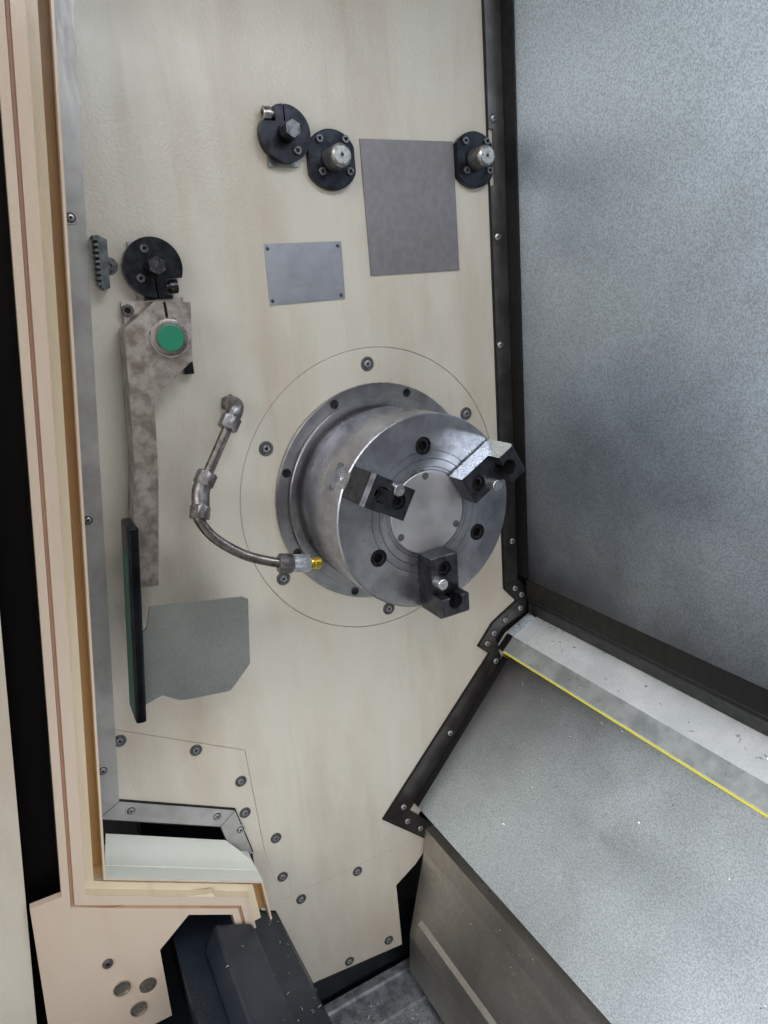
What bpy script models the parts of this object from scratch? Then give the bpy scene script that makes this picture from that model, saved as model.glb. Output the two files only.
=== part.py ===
# CNC turning lathe with a slant bed, seen from its open front door.
# Units are metres. X runs along the spindle towards the tailstock, Y to the back, Z up.
# Every piece hangs on the empty "spindle_nose", which sits on the spindle axis
# at the face of the headstock wall, so the numbers below are measured from there.
import math

import bmesh
import bpy
from mathutils import Vector

# Running clearances between neighbours
FIT = 0.0003
SLIDE_GAP = 0.0010

# Overall machine
CENTRE_HEIGHT = 1.10
MACHINE_LEFT = -1.00
MACHINE_RIGHT = 1.98
CONVEYOR_REACH = 0.62
FRONT = -0.68
BACK = 0.98
TOP = 0.95
FOOT_HEIGHT = 0.04
SHEET = 0.004
CHAMBER_LENGTH = 1.56
CHAMBER_LOW = -0.640
WALL_THICKNESS = 0.006
LEAN = math.radians(7.9)

# Chuck, ten inch pattern
CHUCK_RADIUS = 0.127
CHUCK_BACK = 0.031
CHUCK_FACE = 0.1347
CHUCK_GROOVES = (0.0802, 0.0700, 0.0597, 0.0560)
CHUCK_BOLT_CIRCLE = 0.0869
CHUCK_COVER_RADIUS = 0.0540
ADAPTER_RADIUS = 0.1405
FLANGE_RADIUS = 0.1566
FLANGE_DEPTH = 0.0063
COVER_RING_RADIUS = FLANGE_RADIUS + 0.0479
BORE_RADIUS = 0.036
SHAFT_RADIUS = 0.075
NECK_RADIUS = 0.120
ADAPTER_FRONT = 0.0132
JAW_ANGLES = (150.0, 30.0, 270.0)
JAW_WIDTH = 0.040
JAW_INNER = 0.050
JAW_STEP = 0.098
JAW_OUTER = 0.125
JAW_LOW = 0.032
JAW_HIGH = 0.054
SLOT_WIDTH = 0.021
SLOT_HEAD_WIDTH = 0.036
SLOT_HEAD_TOP = 0.020
SLOT_DEPTH = 0.036
SERRATION_PITCH = 0.003
SERRATION_DEPTH = 0.0015
JAW_SLOT_INNER = 0.0565
BASE_JAW_INNER = 0.0595

# Bed and column
BED_LEFT = MACHINE_LEFT + 0.05
BED_RIGHT = MACHINE_RIGHT - 0.08
BED_FRONT = 0.090
COLUMN_FACE = 0.33
COLUMN_BACK = 0.70
WAY_HEIGHT = 0.040
WAY_WIDTH = 0.050
BED_TOP = -0.33
FOOT_X = (BED_LEFT + 0.10, (BED_LEFT + BED_RIGHT) / 2, BED_RIGHT - 0.10)

# Carriages at rest
SADDLE_X = (CHAMBER_LENGTH - 0.50, CHAMBER_LENGTH - 0.12)
TURRET_Z = 0.50
TURRET_RADIUS = 0.170
TURRET_THICKNESS = 0.090
TURRET_STATIONS = 12
TAILSTOCK_X = (CHAMBER_LENGTH - 0.50, CHAMBER_LENGTH - 0.14)
QUILL_RADIUS = 0.045

# Rear vertical cover and slanted cover
REAR_COVER_Y = 0.245
REAR_COVER_LOW = -0.193
REAR_COVER_HIGH = 0.78
REAR_COVER_LEFT = 0.030
SLANT_LEFT = 0.020
FIXED_COVER_RIGHT = SADDLE_X[0] - 0.46
COVER_THICKNESS = 0.003
SLANT_TOP = (0.2058, -0.3292)
SLANT_LOW = (0.0118, -0.5374)
RIDGE_EDGE = (0.1954, -0.3099)
RIDGE_BEND = (0.2168, -0.2894)
RIDGE_TOP = (0.2671, -0.2683)
RIDGE_LIP = 0.006

# Front wall line: Y of the door lip at a height Z
LIP_Y = -0.3665
LIP_Z = 0.260
JAMB_X = 0.072
JAMB_WIDTH = 0.050
DOOR_GAP = 0.038
DOOR_THICKNESS = 0.045
DOOR_LOW = -0.60
DOOR_HIGH = 0.78
TRACK_LOW = DOOR_HIGH - 0.005
DOOR_OPENING_RIGHT = CHAMBER_LENGTH - 0.58
DOOR_OVERLAP = 0.030


def clear_scene():
    for item in list(bpy.data.objects):
        bpy.data.objects.remove(item)


clear_scene()
lathe = bpy.data.collections.new("cnc_turning_lathe")
cutters = bpy.data.collections.new("cutters")
bpy.context.scene.collection.children.link(lathe)
bpy.context.scene.collection.children.link(cutters)

nose = bpy.data.objects.new("spindle_nose", None)
nose.location = (
    -(MACHINE_LEFT + MACHINE_RIGHT + CONVEYOR_REACH) / 2,
    -(FRONT + BACK) / 2,
    CENTRE_HEIGHT,
)
lathe.objects.link(nose)


# Materials
def finish(name, colour, roughness, metallic=0.0):
    material = bpy.data.materials.new(name)
    material.use_nodes = True
    shader = material.node_tree.nodes["Principled BSDF"]
    shader.inputs["Base Color"].default_value = (*colour, 1.0)
    shader.inputs["Roughness"].default_value = roughness
    shader.inputs["Metallic"].default_value = metallic
    return material


CREAM = finish("cream enamel", (0.74, 0.70, 0.60), 0.45)
DARK_BLUE = finish("dark blue enamel", (0.03, 0.05, 0.07), 0.5)
CASTING = finish("grey cast iron", (0.20, 0.21, 0.21), 0.6, 0.3)
STEEL = finish("ground steel", (0.55, 0.55, 0.55), 0.3, 1.0)
STAINLESS = finish("brushed stainless", (0.50, 0.51, 0.53), 0.35, 1.0)
BLACK_OXIDE = finish("black oxide steel", (0.03, 0.03, 0.03), 0.45, 0.8)
BRASS = finish("brass", (0.80, 0.60, 0.20), 0.3, 1.0)
GREEN = finish("green plastic", (0.02, 0.35, 0.22), 0.4)
GLASS = finish("window glass", (0.60, 0.65, 0.65), 0.1)
RED = finish("red plastic", (0.60, 0.03, 0.02), 0.4)
GREY_PLASTIC = finish("grey plastic", (0.25, 0.26, 0.27), 0.5)


# Shape makers
def add(item, material, parent=None, location=None, rotation=None):
    if item.name not in lathe.objects:
        for owner in list(item.users_collection):
            owner.objects.unlink(item)
        lathe.objects.link(item)
    item.parent = parent if parent is not None else nose
    if location is not None:
        item.location = location
    if rotation is not None:
        item.rotation_euler = rotation
    if material is not None:
        item.data.materials.clear()
        item.data.materials.append(material)
    return item


def mesh_object(name, mesh_builder):
    mesh = bpy.data.meshes.new(name)
    work = bmesh.new()
    mesh_builder(work)
    bmesh.ops.recalc_face_normals(work, faces=work.faces)
    work.to_mesh(mesh)
    work.free()
    item = bpy.data.objects.new(name, mesh)
    lathe.objects.link(item)
    return item


def box(name, x_range, y_range, z_range, material, parent=None):
    size = [high - low for low, high in (x_range, y_range, z_range)]
    middle = [(high + low) / 2 for low, high in (x_range, y_range, z_range)]

    def builder(work):
        bmesh.ops.create_cube(work, size=1.0)
        bmesh.ops.scale(work, vec=size, verts=work.verts)

    return add(mesh_object(name, builder), material, parent, middle)


def outline_curve(name, outlines, depth):
    curve = bpy.data.curves.new(name, "CURVE")
    curve.dimensions = "2D"
    curve.fill_mode = "BOTH"
    curve.extrude = depth / 2
    for outline in outlines:
        spline = curve.splines.new("POLY")
        spline.points.add(len(outline) - 1)
        for point, (u, v) in zip(spline.points, outline):
            point.co = (u, v, 0.0, 1.0)
        spline.use_cyclic_u = True
    item = bpy.data.objects.new(name, curve)
    lathe.objects.link(item)
    return item


def as_mesh(item):
    """Turn a curve object into a closed mesh object in the same place."""
    bpy.context.view_layer.update()
    evaluated = item.evaluated_get(bpy.context.evaluated_depsgraph_get())
    mesh = bpy.data.meshes.new_from_object(evaluated)
    work = bmesh.new()
    work.from_mesh(mesh)
    bmesh.ops.remove_doubles(work, verts=work.verts, dist=0.000005)
    bmesh.ops.recalc_face_normals(work, faces=work.faces)
    work.to_mesh(mesh)
    work.free()
    name = item.name
    place = item.matrix_world.copy()
    parent = item.parent
    material = item.data.materials[0] if item.data.materials else None
    bpy.data.objects.remove(item)
    solid = bpy.data.objects.new(name, mesh)
    lathe.objects.link(solid)
    solid.parent = parent
    solid.matrix_world = place
    if material is not None:
        mesh.materials.clear()
        mesh.materials.append(material)
    return solid


ACROSS = (math.pi / 2, 0.0, math.pi / 2)
UPRIGHT = (math.pi / 2, 0.0, 0.0)
ALONG_X = (0.0, math.pi / 2, 0.0)


def section(name, outline, x_range, material, holes=(), parent=None):
    """A (Y, Z) outline drawn out along X."""
    item = outline_curve(name, [outline, *holes], x_range[1] - x_range[0])
    add(item, material, parent, (sum(x_range) / 2, 0.0, 0.0), ACROSS)
    return as_mesh(item)


def side_section(name, outline, y_range, material, holes=(), parent=None):
    """An (X, Z) outline drawn out along Y."""
    item = outline_curve(name, [outline, *holes], y_range[1] - y_range[0])
    add(item, material, parent, (0.0, sum(y_range) / 2, 0.0), UPRIGHT)
    return as_mesh(item)


def prism(name, outline, x_range, material):
    """A (Y, Z) outline drawn out along X as one plain mesh."""

    def builder(work):
        near = [work.verts.new((x_range[0], y, z)) for y, z in outline]
        far = [work.verts.new((x_range[1], y, z)) for y, z in outline]
        work.faces.new(near)
        work.faces.new(far)
        for index in range(len(outline)):
            after = (index + 1) % len(outline)
            work.faces.new((near[index], near[after], far[after], far[index]))

    return add(mesh_object(name, builder), material)


def circle(centre, radius, steps=32, start=0.0):
    return [
        (
            centre[0] + radius * math.cos(start + math.tau * index / steps),
            centre[1] + radius * math.sin(start + math.tau * index / steps),
        )
        for index in range(steps)
    ]


def rectangle(u_range, v_range):
    return [
        (u_range[0], v_range[0]),
        (u_range[1], v_range[0]),
        (u_range[1], v_range[1]),
        (u_range[0], v_range[1]),
    ]


def turned(name, profile, material, steps=48, parent=None, location=(0, 0, 0), hollow=False):
    """A profile of (x, radius) points, from its +X end down its outer side."""
    mesh = bpy.data.meshes.new(name)
    points = [(radius, 0.0, x) for x, radius in profile]
    edges = [(index, index + 1) for index in range(len(points) - 1)]
    if hollow:
        edges.append((len(points) - 1, 0))
    mesh.from_pydata(points, edges, [])
    item = bpy.data.objects.new(name, mesh)
    lathe.objects.link(item)
    screw = item.modifiers.new("turn", "SCREW")
    screw.steps = steps
    screw.render_steps = steps
    screw.use_merge_vertices = True
    screw.merge_threshold = 0.00005
    return add(item, material, parent, location, ALONG_X)


def pin(name, radius, x_range, material, centre=(0.0, 0.0), steps=32, parent=None):
    profile = [(x_range[1], 0.0), (x_range[1], radius), (x_range[0], radius), (x_range[0], 0.0)]
    return turned(name, profile, material, steps, parent, (0.0, centre[0], centre[1]))


def collar(name, outer, inner, x_range, material, centre=(0.0, 0.0), steps=48, parent=None):
    profile = [(x_range[1], outer), (x_range[0], outer), (x_range[0], inner), (x_range[1], inner)]
    place = (0.0, centre[0], centre[1])
    return turned(name, profile, material, steps, parent, place, hollow=True)


def as_cutter(item):
    for owner in list(item.users_collection):
        owner.objects.unlink(item)
    cutters.objects.link(item)
    item.hide_render = True
    item.display_type = "WIRE"
    return item


def boolean(item, other, operation):
    as_cutter(other)
    change = item.modifiers.new(operation.lower() + " " + other.name, "BOOLEAN")
    change.operation = operation
    change.object = other
    change.solver = "EXACT"
    return item


def cut(item, other):
    return boolean(item, other, "DIFFERENCE")


def join(item, other):
    return boolean(item, other, "UNION")


def soften(item, width, segments=2, angle=40.0):
    bevel = item.modifiers.new("edge", "BEVEL")
    bevel.width = width
    bevel.segments = segments
    bevel.limit_method = "ANGLE"
    bevel.angle_limit = math.radians(angle)
    return item


# Outline tools
def offset_path(points, distance, closed=False):
    """The same open path moved sideways, to the left of its direction, with mitred corners."""
    moved = []
    count = len(points)
    for index, (u, v) in enumerate(points):
        sides = []
        for first, second in ((index - 1, index), (index, index + 1)):
            if not closed and (first < 0 or second >= count):
                continue
            a = points[first % count]
            b = points[second % count]
            length = math.hypot(b[0] - a[0], b[1] - a[1])
            sides.append((-(b[1] - a[1]) / length, (b[0] - a[0]) / length))
        normal_u = sum(side[0] for side in sides)
        normal_v = sum(side[1] for side in sides)
        size = math.hypot(normal_u, normal_v)
        normal_u /= size
        normal_v /= size
        reach = distance / (normal_u * sides[0][0] + normal_v * sides[0][1])
        moved.append((u + normal_u * reach, v + normal_v * reach))
    return moved


def folded(points, thickness):
    """Outline of a sheet folded along an open path."""
    return list(points) + offset_path(points, thickness)[::-1]


def lip_y(z, inset=0.0):
    """Y of the leaning front wall at height z, moved inset metres to the front."""
    return LIP_Y + math.tan(LEAN) * (z - LIP_Z) - inset / math.cos(LEAN)


# Slant frame: one unit vector down the bed and one out of it
SLANT_LENGTH = math.hypot(SLANT_TOP[0] - SLANT_LOW[0], SLANT_TOP[1] - SLANT_LOW[1])
DOWN = (
    (SLANT_LOW[0] - SLANT_TOP[0]) / SLANT_LENGTH,
    (SLANT_LOW[1] - SLANT_TOP[1]) / SLANT_LENGTH,
)
OUT = (DOWN[1], -DOWN[0])
COVER_DEPTH = -(SLANT_TOP[0] * OUT[0] + SLANT_TOP[1] * OUT[1])
ALONG_TOP = SLANT_TOP[0] * DOWN[0] + SLANT_TOP[1] * DOWN[1]
ALONG_LOW = ALONG_TOP + SLANT_LENGTH
UPPER_WAY = ALONG_TOP - 0.011
LIP_ALONG = RIDGE_EDGE[0] * DOWN[0] + RIDGE_EDGE[1] * DOWN[1]
LOWER_WAY = ALONG_TOP + 0.184


def on_slant(along, out):
    """(Y, Z) of a point given along the slant and out of it from the spindle axis."""
    return (DOWN[0] * along + OUT[0] * out, DOWN[1] * along + OUT[1] * out)


FLOOR = -CENTRE_HEIGHT


def below(share):
    """Height at a share of the way from the chamber's lowest fold down to the floor."""
    return CHAMBER_LOW + share * (FLOOR - CHAMBER_LOW)


BELT_TOP = below(0.576)
BELT_PITCH = 0.0635
TROUGH_TOP = below(0.50)
CHUTE_END = below(0.522)


# Bed, column and headstock castings
def make_castings():
    way_depth = COVER_DEPTH + 0.050
    face_depth = way_depth + WAY_HEIGHT
    bed_outline = [
        (BED_FRONT, FLOOR + FOOT_HEIGHT),
        (COLUMN_BACK, FLOOR + FOOT_HEIGHT),
        (COLUMN_BACK, BED_TOP),
        (0.310, BED_TOP),
        on_slant(UPPER_WAY - 0.025, -face_depth),
        on_slant(UPPER_WAY, -face_depth),
        on_slant(UPPER_WAY, -way_depth),
        on_slant(UPPER_WAY + WAY_WIDTH, -way_depth),
        on_slant(UPPER_WAY + WAY_WIDTH, -face_depth),
        on_slant(LOWER_WAY, -face_depth),
        on_slant(LOWER_WAY, -way_depth),
        on_slant(LOWER_WAY + WAY_WIDTH, -way_depth),
        on_slant(LOWER_WAY + WAY_WIDTH, -face_depth),
        on_slant(LOWER_WAY + WAY_WIDTH + 0.030, -face_depth),
        (BED_FRONT, CHAMBER_LOW),
    ]
    bed = section("bed_casting", bed_outline, (BED_LEFT, BED_RIGHT), CASTING)
    foot_rows = (0.18, COLUMN_BACK - 0.08)
    for index, (x, y) in enumerate((x, y) for x in FOOT_X for y in foot_rows):
        join(bed, level_foot("bed_foot_%d" % (index + 1), x, y))

    way_tip = COLUMN_FACE - WAY_HEIGHT
    low_way = 0.02
    high_way = 0.50
    column_outline = [
        (COLUMN_FACE, BED_TOP + FIT),
        (COLUMN_BACK, BED_TOP + FIT),
        (COLUMN_BACK, 0.62),
        (COLUMN_BACK - 0.10, 0.72),
        (COLUMN_FACE, 0.72),
        (COLUMN_FACE, high_way + WAY_WIDTH),
        (way_tip, high_way + WAY_WIDTH),
        (way_tip, high_way),
        (COLUMN_FACE, high_way),
        (COLUMN_FACE, low_way + WAY_WIDTH),
        (way_tip, low_way + WAY_WIDTH),
        (way_tip, low_way),
        (COLUMN_FACE, low_way),
    ]
    column = section("column_casting", column_outline, (0.02, BED_RIGHT), CASTING)
    stay_y = (COLUMN_BACK - 0.01, BACK - 2 * SHEET - 2 * FIT)
    for index, x in enumerate((0.30, BED_RIGHT - 0.30)):
        stay = box("panel_stay_%d" % (index + 1), (x, x + 0.06), stay_y, (0.30, 0.60), CASTING)
        join(column, stay)

    seat = BED_TOP + FIT
    head_outline = [
        (-0.190, 0.150),
        (-0.130, 0.215),
        (0.260, 0.215),
        (0.320, 0.150),
        (0.320, seat),
        (0.3105, seat),
        on_slant(UPPER_WAY - 0.026, -way_depth + FIT),
        on_slant(UPPER_WAY + 2 * WAY_WIDTH, -way_depth + FIT),
        on_slant(LOWER_WAY + WAY_WIDTH, -way_depth + FIT),
        (-0.060, -0.560),
        (-0.190, -0.300),
    ]
    bore = circle((0.0, 0.0), SHAFT_RADIUS + SLIDE_GAP, 48)
    head_x = (-0.80, -WALL_THICKNESS - FIT)
    section("headstock_casting", head_outline, head_x, CASTING, [bore])


def level_foot(name, x, y):
    foot = pin(name, 0.045, (0.0, FOOT_HEIGHT + 0.01), CASTING, steps=24)
    foot.location = (x, y, FLOOR)
    foot.rotation_euler = (0.0, 0.0, 0.0)
    return foot


def make_chip_tank():
    outline = [
        (FRONT, FLOOR + FOOT_HEIGHT),
        (-0.200, FLOOR + FOOT_HEIGHT),
        (-0.200, below(0.348)),
        (-0.242, CHAMBER_LOW + 0.014),
        (-0.395, -0.540),
        (-0.395, -0.690),
        (-0.560, -0.690),
        (-0.560, CHAMBER_LOW),
        (FRONT, CHAMBER_LOW),
    ]
    tank_x = (MACHINE_LEFT + SHEET + FIT, MACHINE_RIGHT - SHEET - FIT)
    tank = section("chip_tank", outline, tank_x, DARK_BLUE)
    for index, x in enumerate(FOOT_X):
        join(tank, level_foot("tank_foot_%d" % (index + 1), x, FRONT + 0.12))

    # Square tube that stiffens the top of the tank under the sill
    beam = box("rail_beam", (JAMB_X + 0.003, CHAMBER_LENGTH - 0.02), (-0.029, 0.029), (0.0, 0.042), DARK_BLUE)
    slope = math.atan2(-0.626 + 0.540, -0.242 + 0.395)
    beam.location = (beam.location.x, -0.327, -0.553)
    beam.rotation_euler = (slope, 0.0, 0.0)
    soften(beam, 0.005)

    # Ground bar that the door rollers run on
    box("door_rail", (0.02, BED_RIGHT), (-0.462, -0.450), (-0.690 + FIT, CHAMBER_LOW), STEEL)


# Cabinet panels
def make_cabinet():
    front_edge = lip_y(DOOR_HIGH, JAMB_WIDTH + DOOR_GAP + DOOR_THICKNESS)
    roof = [
        (front_edge, DOOR_HIGH + 0.006),
        (front_edge, TOP - 0.02),
        (front_edge + 0.02, TOP),
        (BACK, TOP),
        (BACK, TOP - 0.05),
    ]
    roof_panel = section("roof_panel", folded(roof, -SHEET), (MACHINE_LEFT, MACHINE_RIGHT), CREAM)
    track = box(
        "door_track",
        (JAMB_X - 0.010, MACHINE_RIGHT - 0.030),
        (front_edge + SHEET - 0.001, front_edge + 0.040),
        (TRACK_LOW, DOOR_HIGH + 0.030),
        CREAM,
    )
    join(roof_panel, track)
    box(
        "rear_panel",
        (MACHINE_LEFT, MACHINE_RIGHT),
        (BACK - 2 * SHEET - FIT, BACK - SHEET - FIT),
        (FLOOR + FOOT_HEIGHT, TOP - SHEET - FIT),
        CREAM,
    )
    inner_front = [
        (FRONT + SHEET + FIT, FLOOR + FOOT_HEIGHT),
        (BACK - 2 * SHEET - 2 * FIT, FLOOR + FOOT_HEIGHT),
        (BACK - 2 * SHEET - 2 * FIT, TOP - SHEET - FIT),
        (front_edge + SHEET + FIT + 0.02, TOP - SHEET - FIT),
        (front_edge + SHEET + FIT, TOP - 0.03),
        (lip_y(DOOR_HIGH, 0.10), DOOR_HIGH),
        (lip_y(DOOR_LOW, 0.10), DOOR_LOW),
        (FRONT + SHEET + FIT, DOOR_LOW - 0.05),
    ]
    section("left_end_panel", inner_front, (MACHINE_LEFT, MACHINE_LEFT + SHEET), CREAM)
    tunnel = rectangle((-0.190, 0.070), (FLOOR + FOOT_HEIGHT + 0.005, TROUGH_TOP + 0.010))
    section("right_end_panel", inner_front, (MACHINE_RIGHT - SHEET, MACHINE_RIGHT), CREAM, [tunnel])


# Headstock wall with its covers, wiper strips and the door jamb
SEAM = 0.0006
STRIP_WIDTH = 0.026
STRIP_THICKNESS = 0.004
STRIP_EDGE = 0.0235
SILL_START = (-0.4215, -0.336)
SILL_END = (-0.277, -0.418)
STEP_END = (-0.262, -0.500)
SEAM_CORNER = (-0.248, -0.331)
SEAM_LOW = (-0.243, -0.509)
PANEL_LEFT = (-0.229, -0.611)
PANEL_RIGHT = (0.050, -0.6155)
REAR_STRIP_Y = 0.2165
FLANGE_NOTCH_MIDDLE = 0.442
REAR_STRIP_OUTER = (
    (REAR_STRIP_Y, -0.209),
    (0.2416, -0.2377),
    (0.2071, -0.2547),
    (0.1891, -0.2640),
    (0.1592, -0.2965),
    (0.1811, -0.3169),
    (-0.0441, -0.5459),
    (0.0320, -0.6220),
)
REAR_STRIP_INNER = (
    (0.0510, -0.6040),
    (0.0040, -0.5504),
    (0.1990, -0.3520),
    (0.1990, -0.3100),
    (0.1933, -0.2934),
    (0.2090, -0.2767),
    (0.2552, -0.2623),
    (0.2660, -0.2232),
    (REAR_STRIP_Y + STRIP_WIDTH, -0.1975),
)


def make_wall():
    wall_x = (-WALL_THICKNESS, 0.0)
    strip_x = (FIT, STRIP_THICKNESS + FIT)
    top = DOOR_HIGH
    seam_top = (lip_y(-0.221) + 0.004, -0.221)
    wall_outline = [
        (lip_y(top), top),
        seam_top,
        SEAM_CORNER,
        SEAM_LOW,
        PANEL_LEFT,
        PANEL_RIGHT,
        on_slant(ALONG_LOW + 0.020, -COVER_DEPTH - 0.030),
        on_slant(ALONG_TOP + 0.024, -COVER_DEPTH - 0.030),
        (REAR_STRIP_Y + 2 * STRIP_WIDTH, -0.290),
        (REAR_STRIP_Y + 2 * STRIP_WIDTH, -0.195),
        (REAR_STRIP_Y + STRIP_WIDTH, -0.195),
        (REAR_STRIP_Y + STRIP_WIDTH, top),
    ]
    centre_hole = circle((0.0, 0.0), COVER_RING_RADIUS + SEAM, 72)
    section("headstock_wall", wall_outline, wall_x, CREAM, [centre_hole])
    ring = collar(
        "cover_ring",
        COVER_RING_RADIUS,
        FLANGE_RADIUS - 0.012,
        (-WALL_THICKNESS, 0.0),
        CREAM,
        steps=72,
    )
    soften(ring, 0.0008, 1)

    lower_left = [
        (seam_top[0], seam_top[1] - SEAM),
        (SEAM_CORNER[0] - SEAM, SEAM_CORNER[1] - SEAM),
        (SEAM_LOW[0] - SEAM, SEAM_LOW[1]),
        (STEP_END[0] - 0.004, STEP_END[1] - 0.004),
        (SILL_END[0] - 0.010, SILL_END[1] - 0.012),
        (SILL_START[0] - 0.010, SILL_START[1] - 0.010),
    ]
    section("lower_left_cover", lower_left, wall_x, CREAM)
    lower_panel = [
        (PANEL_LEFT[0], PANEL_LEFT[1] - SEAM),
        (-0.187, below(0.350)),
        (-0.032, below(0.391)),
        (-0.032, below(0.109)),
        (0.008, -0.667),
        (0.040, -0.637),
        (PANEL_RIGHT[0], PANEL_RIGHT[1] - SEAM),
    ]
    section("lower_cover_panel", lower_panel, wall_x, CREAM)

    front_path = [
        (lip_y(top - 0.004) + STRIP_EDGE, top - 0.004),
        SILL_START,
        SILL_END,
        STEP_END,
    ]
    section("wiper_frame_front", folded(front_path, -STRIP_WIDTH), strip_x, STEEL)
    strip_top = [(REAR_STRIP_Y + STRIP_WIDTH, top - 0.004), (REAR_STRIP_Y, top - 0.004)]
    rear_outline = [*strip_top, *REAR_STRIP_OUTER, *REAR_STRIP_INNER]
    rear_strip = section("wiper_frame_rear", rear_outline, strip_x, STEEL)
    notch_y = (REAR_STRIP_Y - 0.010, REAR_STRIP_Y + 0.008)
    notch_z = (FLANGE_NOTCH_MIDDLE - 0.036, FLANGE_NOTCH_MIDDLE + 0.036)
    cut(rear_strip, box("strip_notch", (-0.01, 0.02), notch_y, notch_z, None))

    access = rectangle((0.0165, 0.158), (0.2965, 0.461))
    section("access_cover", access, (FIT, 0.002), STEEL)


def swept_band(name, path, profile, material):
    """A section of (offset, x) points carried along a (Y, Z) path with mitred corners."""
    rings = [offset_path(path, -offset) for offset, _ in profile]

    def builder(work):
        grid = []
        for station in range(len(path)):
            grid.append([
                work.verts.new((x, rings[index][station][0], rings[index][station][1]))
                for index, (_, x) in enumerate(profile)
            ])
        count = len(profile)
        for near, far in zip(grid, grid[1:]):
            for index in range(count):
                after = (index + 1) % count
                work.faces.new((near[index], near[after], far[after], far[index]))
        work.faces.new(grid[0])
        work.faces.new(grid[-1])

    return add(mesh_object(name, builder), material)


def make_jamb():
    face = JAMB_X
    back = face - 0.034
    path = [
        (lip_y(DOOR_HIGH - 0.001), DOOR_HIGH - 0.001),
        (lip_y(-0.386), -0.386),
        (-0.268, -0.494),
        (-0.264, -0.562),
    ]
    profile = [
        (0.0, face),
        (0.0025, face),
        (0.0030, face - 0.026),
        (0.0125, face - 0.026),
        (0.0130, face - 0.012),
        (0.0235, face - 0.012),
        (0.0240, face),
        (0.0365, face),
        (0.0375, face - 0.003),
        (0.0400, face - 0.003),
        (0.0410, face),
        (JAMB_WIDTH, face),
        (JAMB_WIDTH, back),
        (0.0, back),
    ]
    jamb = swept_band("door_jamb", path, profile, CREAM)

    # Bright floor of the sill between the headstock wall and the channel
    floor_path = offset_path(path, -0.0005)[1:3]
    sill = section(
        "sill_floor",
        folded([(floor_path[0][0] - 0.02, floor_path[0][1] + 0.0114), floor_path[1]], -0.002),
        (STRIP_THICKNESS + 2 * FIT, back + 0.01),
        CREAM,
    )
    join(jamb, sill)

    # Plate that closes the lower front corner below the channel
    corner = offset_path(path, -JAMB_WIDTH + 0.001)
    plate = [
        (corner[1][0], corner[1][1]),
        (-0.336, -0.476),
        (-0.3326, -0.4883),
        (-0.3680, -0.4901),
        (-0.4147, -0.5262),
        (-0.4179, -0.6385),
        (-0.5605, -0.6385),
        (-0.5562, -0.5566),
        (-0.5412, -0.3862),
        (lip_y(-0.3870, JAMB_WIDTH - 0.001), -0.3870),
    ]
    front_plate = section("jamb_plate", plate, (face - 0.010, face - 0.0005), CREAM)
    join(jamb, front_plate)


def make_rear_covers():
    rear_cover = box(
        "rear_cover_fixed",
        (REAR_COVER_LEFT, FIXED_COVER_RIGHT),
        (REAR_COVER_Y, REAR_COVER_Y + COVER_THICKNESS),
        (REAR_COVER_LOW, REAR_COVER_HIGH),
        STAINLESS,
    )
    bracket_y = (REAR_COVER_Y + 0.001, COLUMN_FACE - FIT)
    for index, bracket_z in enumerate(((-0.180, -0.010), (0.120, 0.450), (0.580, 0.700))):
        bracket_x = (REAR_COVER_LEFT + 0.001, REAR_COVER_LEFT + 0.016)
        bracket = box("rear_bracket_%d" % (index + 1), bracket_x, bracket_y, bracket_z, STAINLESS)
        join(rear_cover, bracket)
    leg = ALONG_TOP - 0.013
    lip_out = RIDGE_EDGE[0] * OUT[0] + RIDGE_EDGE[1] * OUT[1] - RIDGE_LIP
    ridge = [
        RIDGE_EDGE,
        RIDGE_BEND,
        RIDGE_TOP,
        (0.290, -0.274),
        (COLUMN_FACE - FIT, -0.306),
        (COLUMN_FACE - FIT, BED_TOP + FIT),
        (0.3105, BED_TOP + FIT),
        (0.300, -0.314),
        (0.262, -0.286),
        on_slant(leg - 0.010, lip_out),
        on_slant(leg - 0.010, -COVER_DEPTH + FIT),
        on_slant(leg, -COVER_DEPTH + FIT),
        on_slant(leg, lip_out),
        on_slant(LIP_ALONG, lip_out),
    ]
    soften(section("ridge_beam", ridge, (SLANT_LEFT, CHAMBER_LENGTH - FIT), CASTING), 0.0012, 1)
    slant = [
        on_slant(leg - 0.012, -COVER_DEPTH),
        SLANT_LOW,
        (SLANT_LOW[0] + 0.012, SLANT_LOW[1] - 0.010),
    ]
    section("slant_cover_fixed", folded(slant, COVER_THICKNESS), (SLANT_LEFT, FIXED_COVER_RIGHT), STAINLESS)
    fold = -0.600
    bed_low = on_slant(LOWER_WAY + WAY_WIDTH + 0.030, -COVER_DEPTH - 0.050 - WAY_HEIGHT)
    share = (fold - CHAMBER_LOW) / (bed_low[1] - CHAMBER_LOW)
    chute = [
        (BED_FRONT + share * (bed_low[0] - BED_FRONT) - 2 * FIT, fold),
        (0.030, fold),
        (0.022, -0.654),
        (-0.017, -0.800),
        (-0.024, CHUTE_END),
    ]
    chute_x = (STRIP_THICKNESS + 2 * FIT, CHAMBER_LENGTH - 0.02)
    section("chute_sheet", folded(chute, 0.002), chute_x, STAINLESS)


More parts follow.
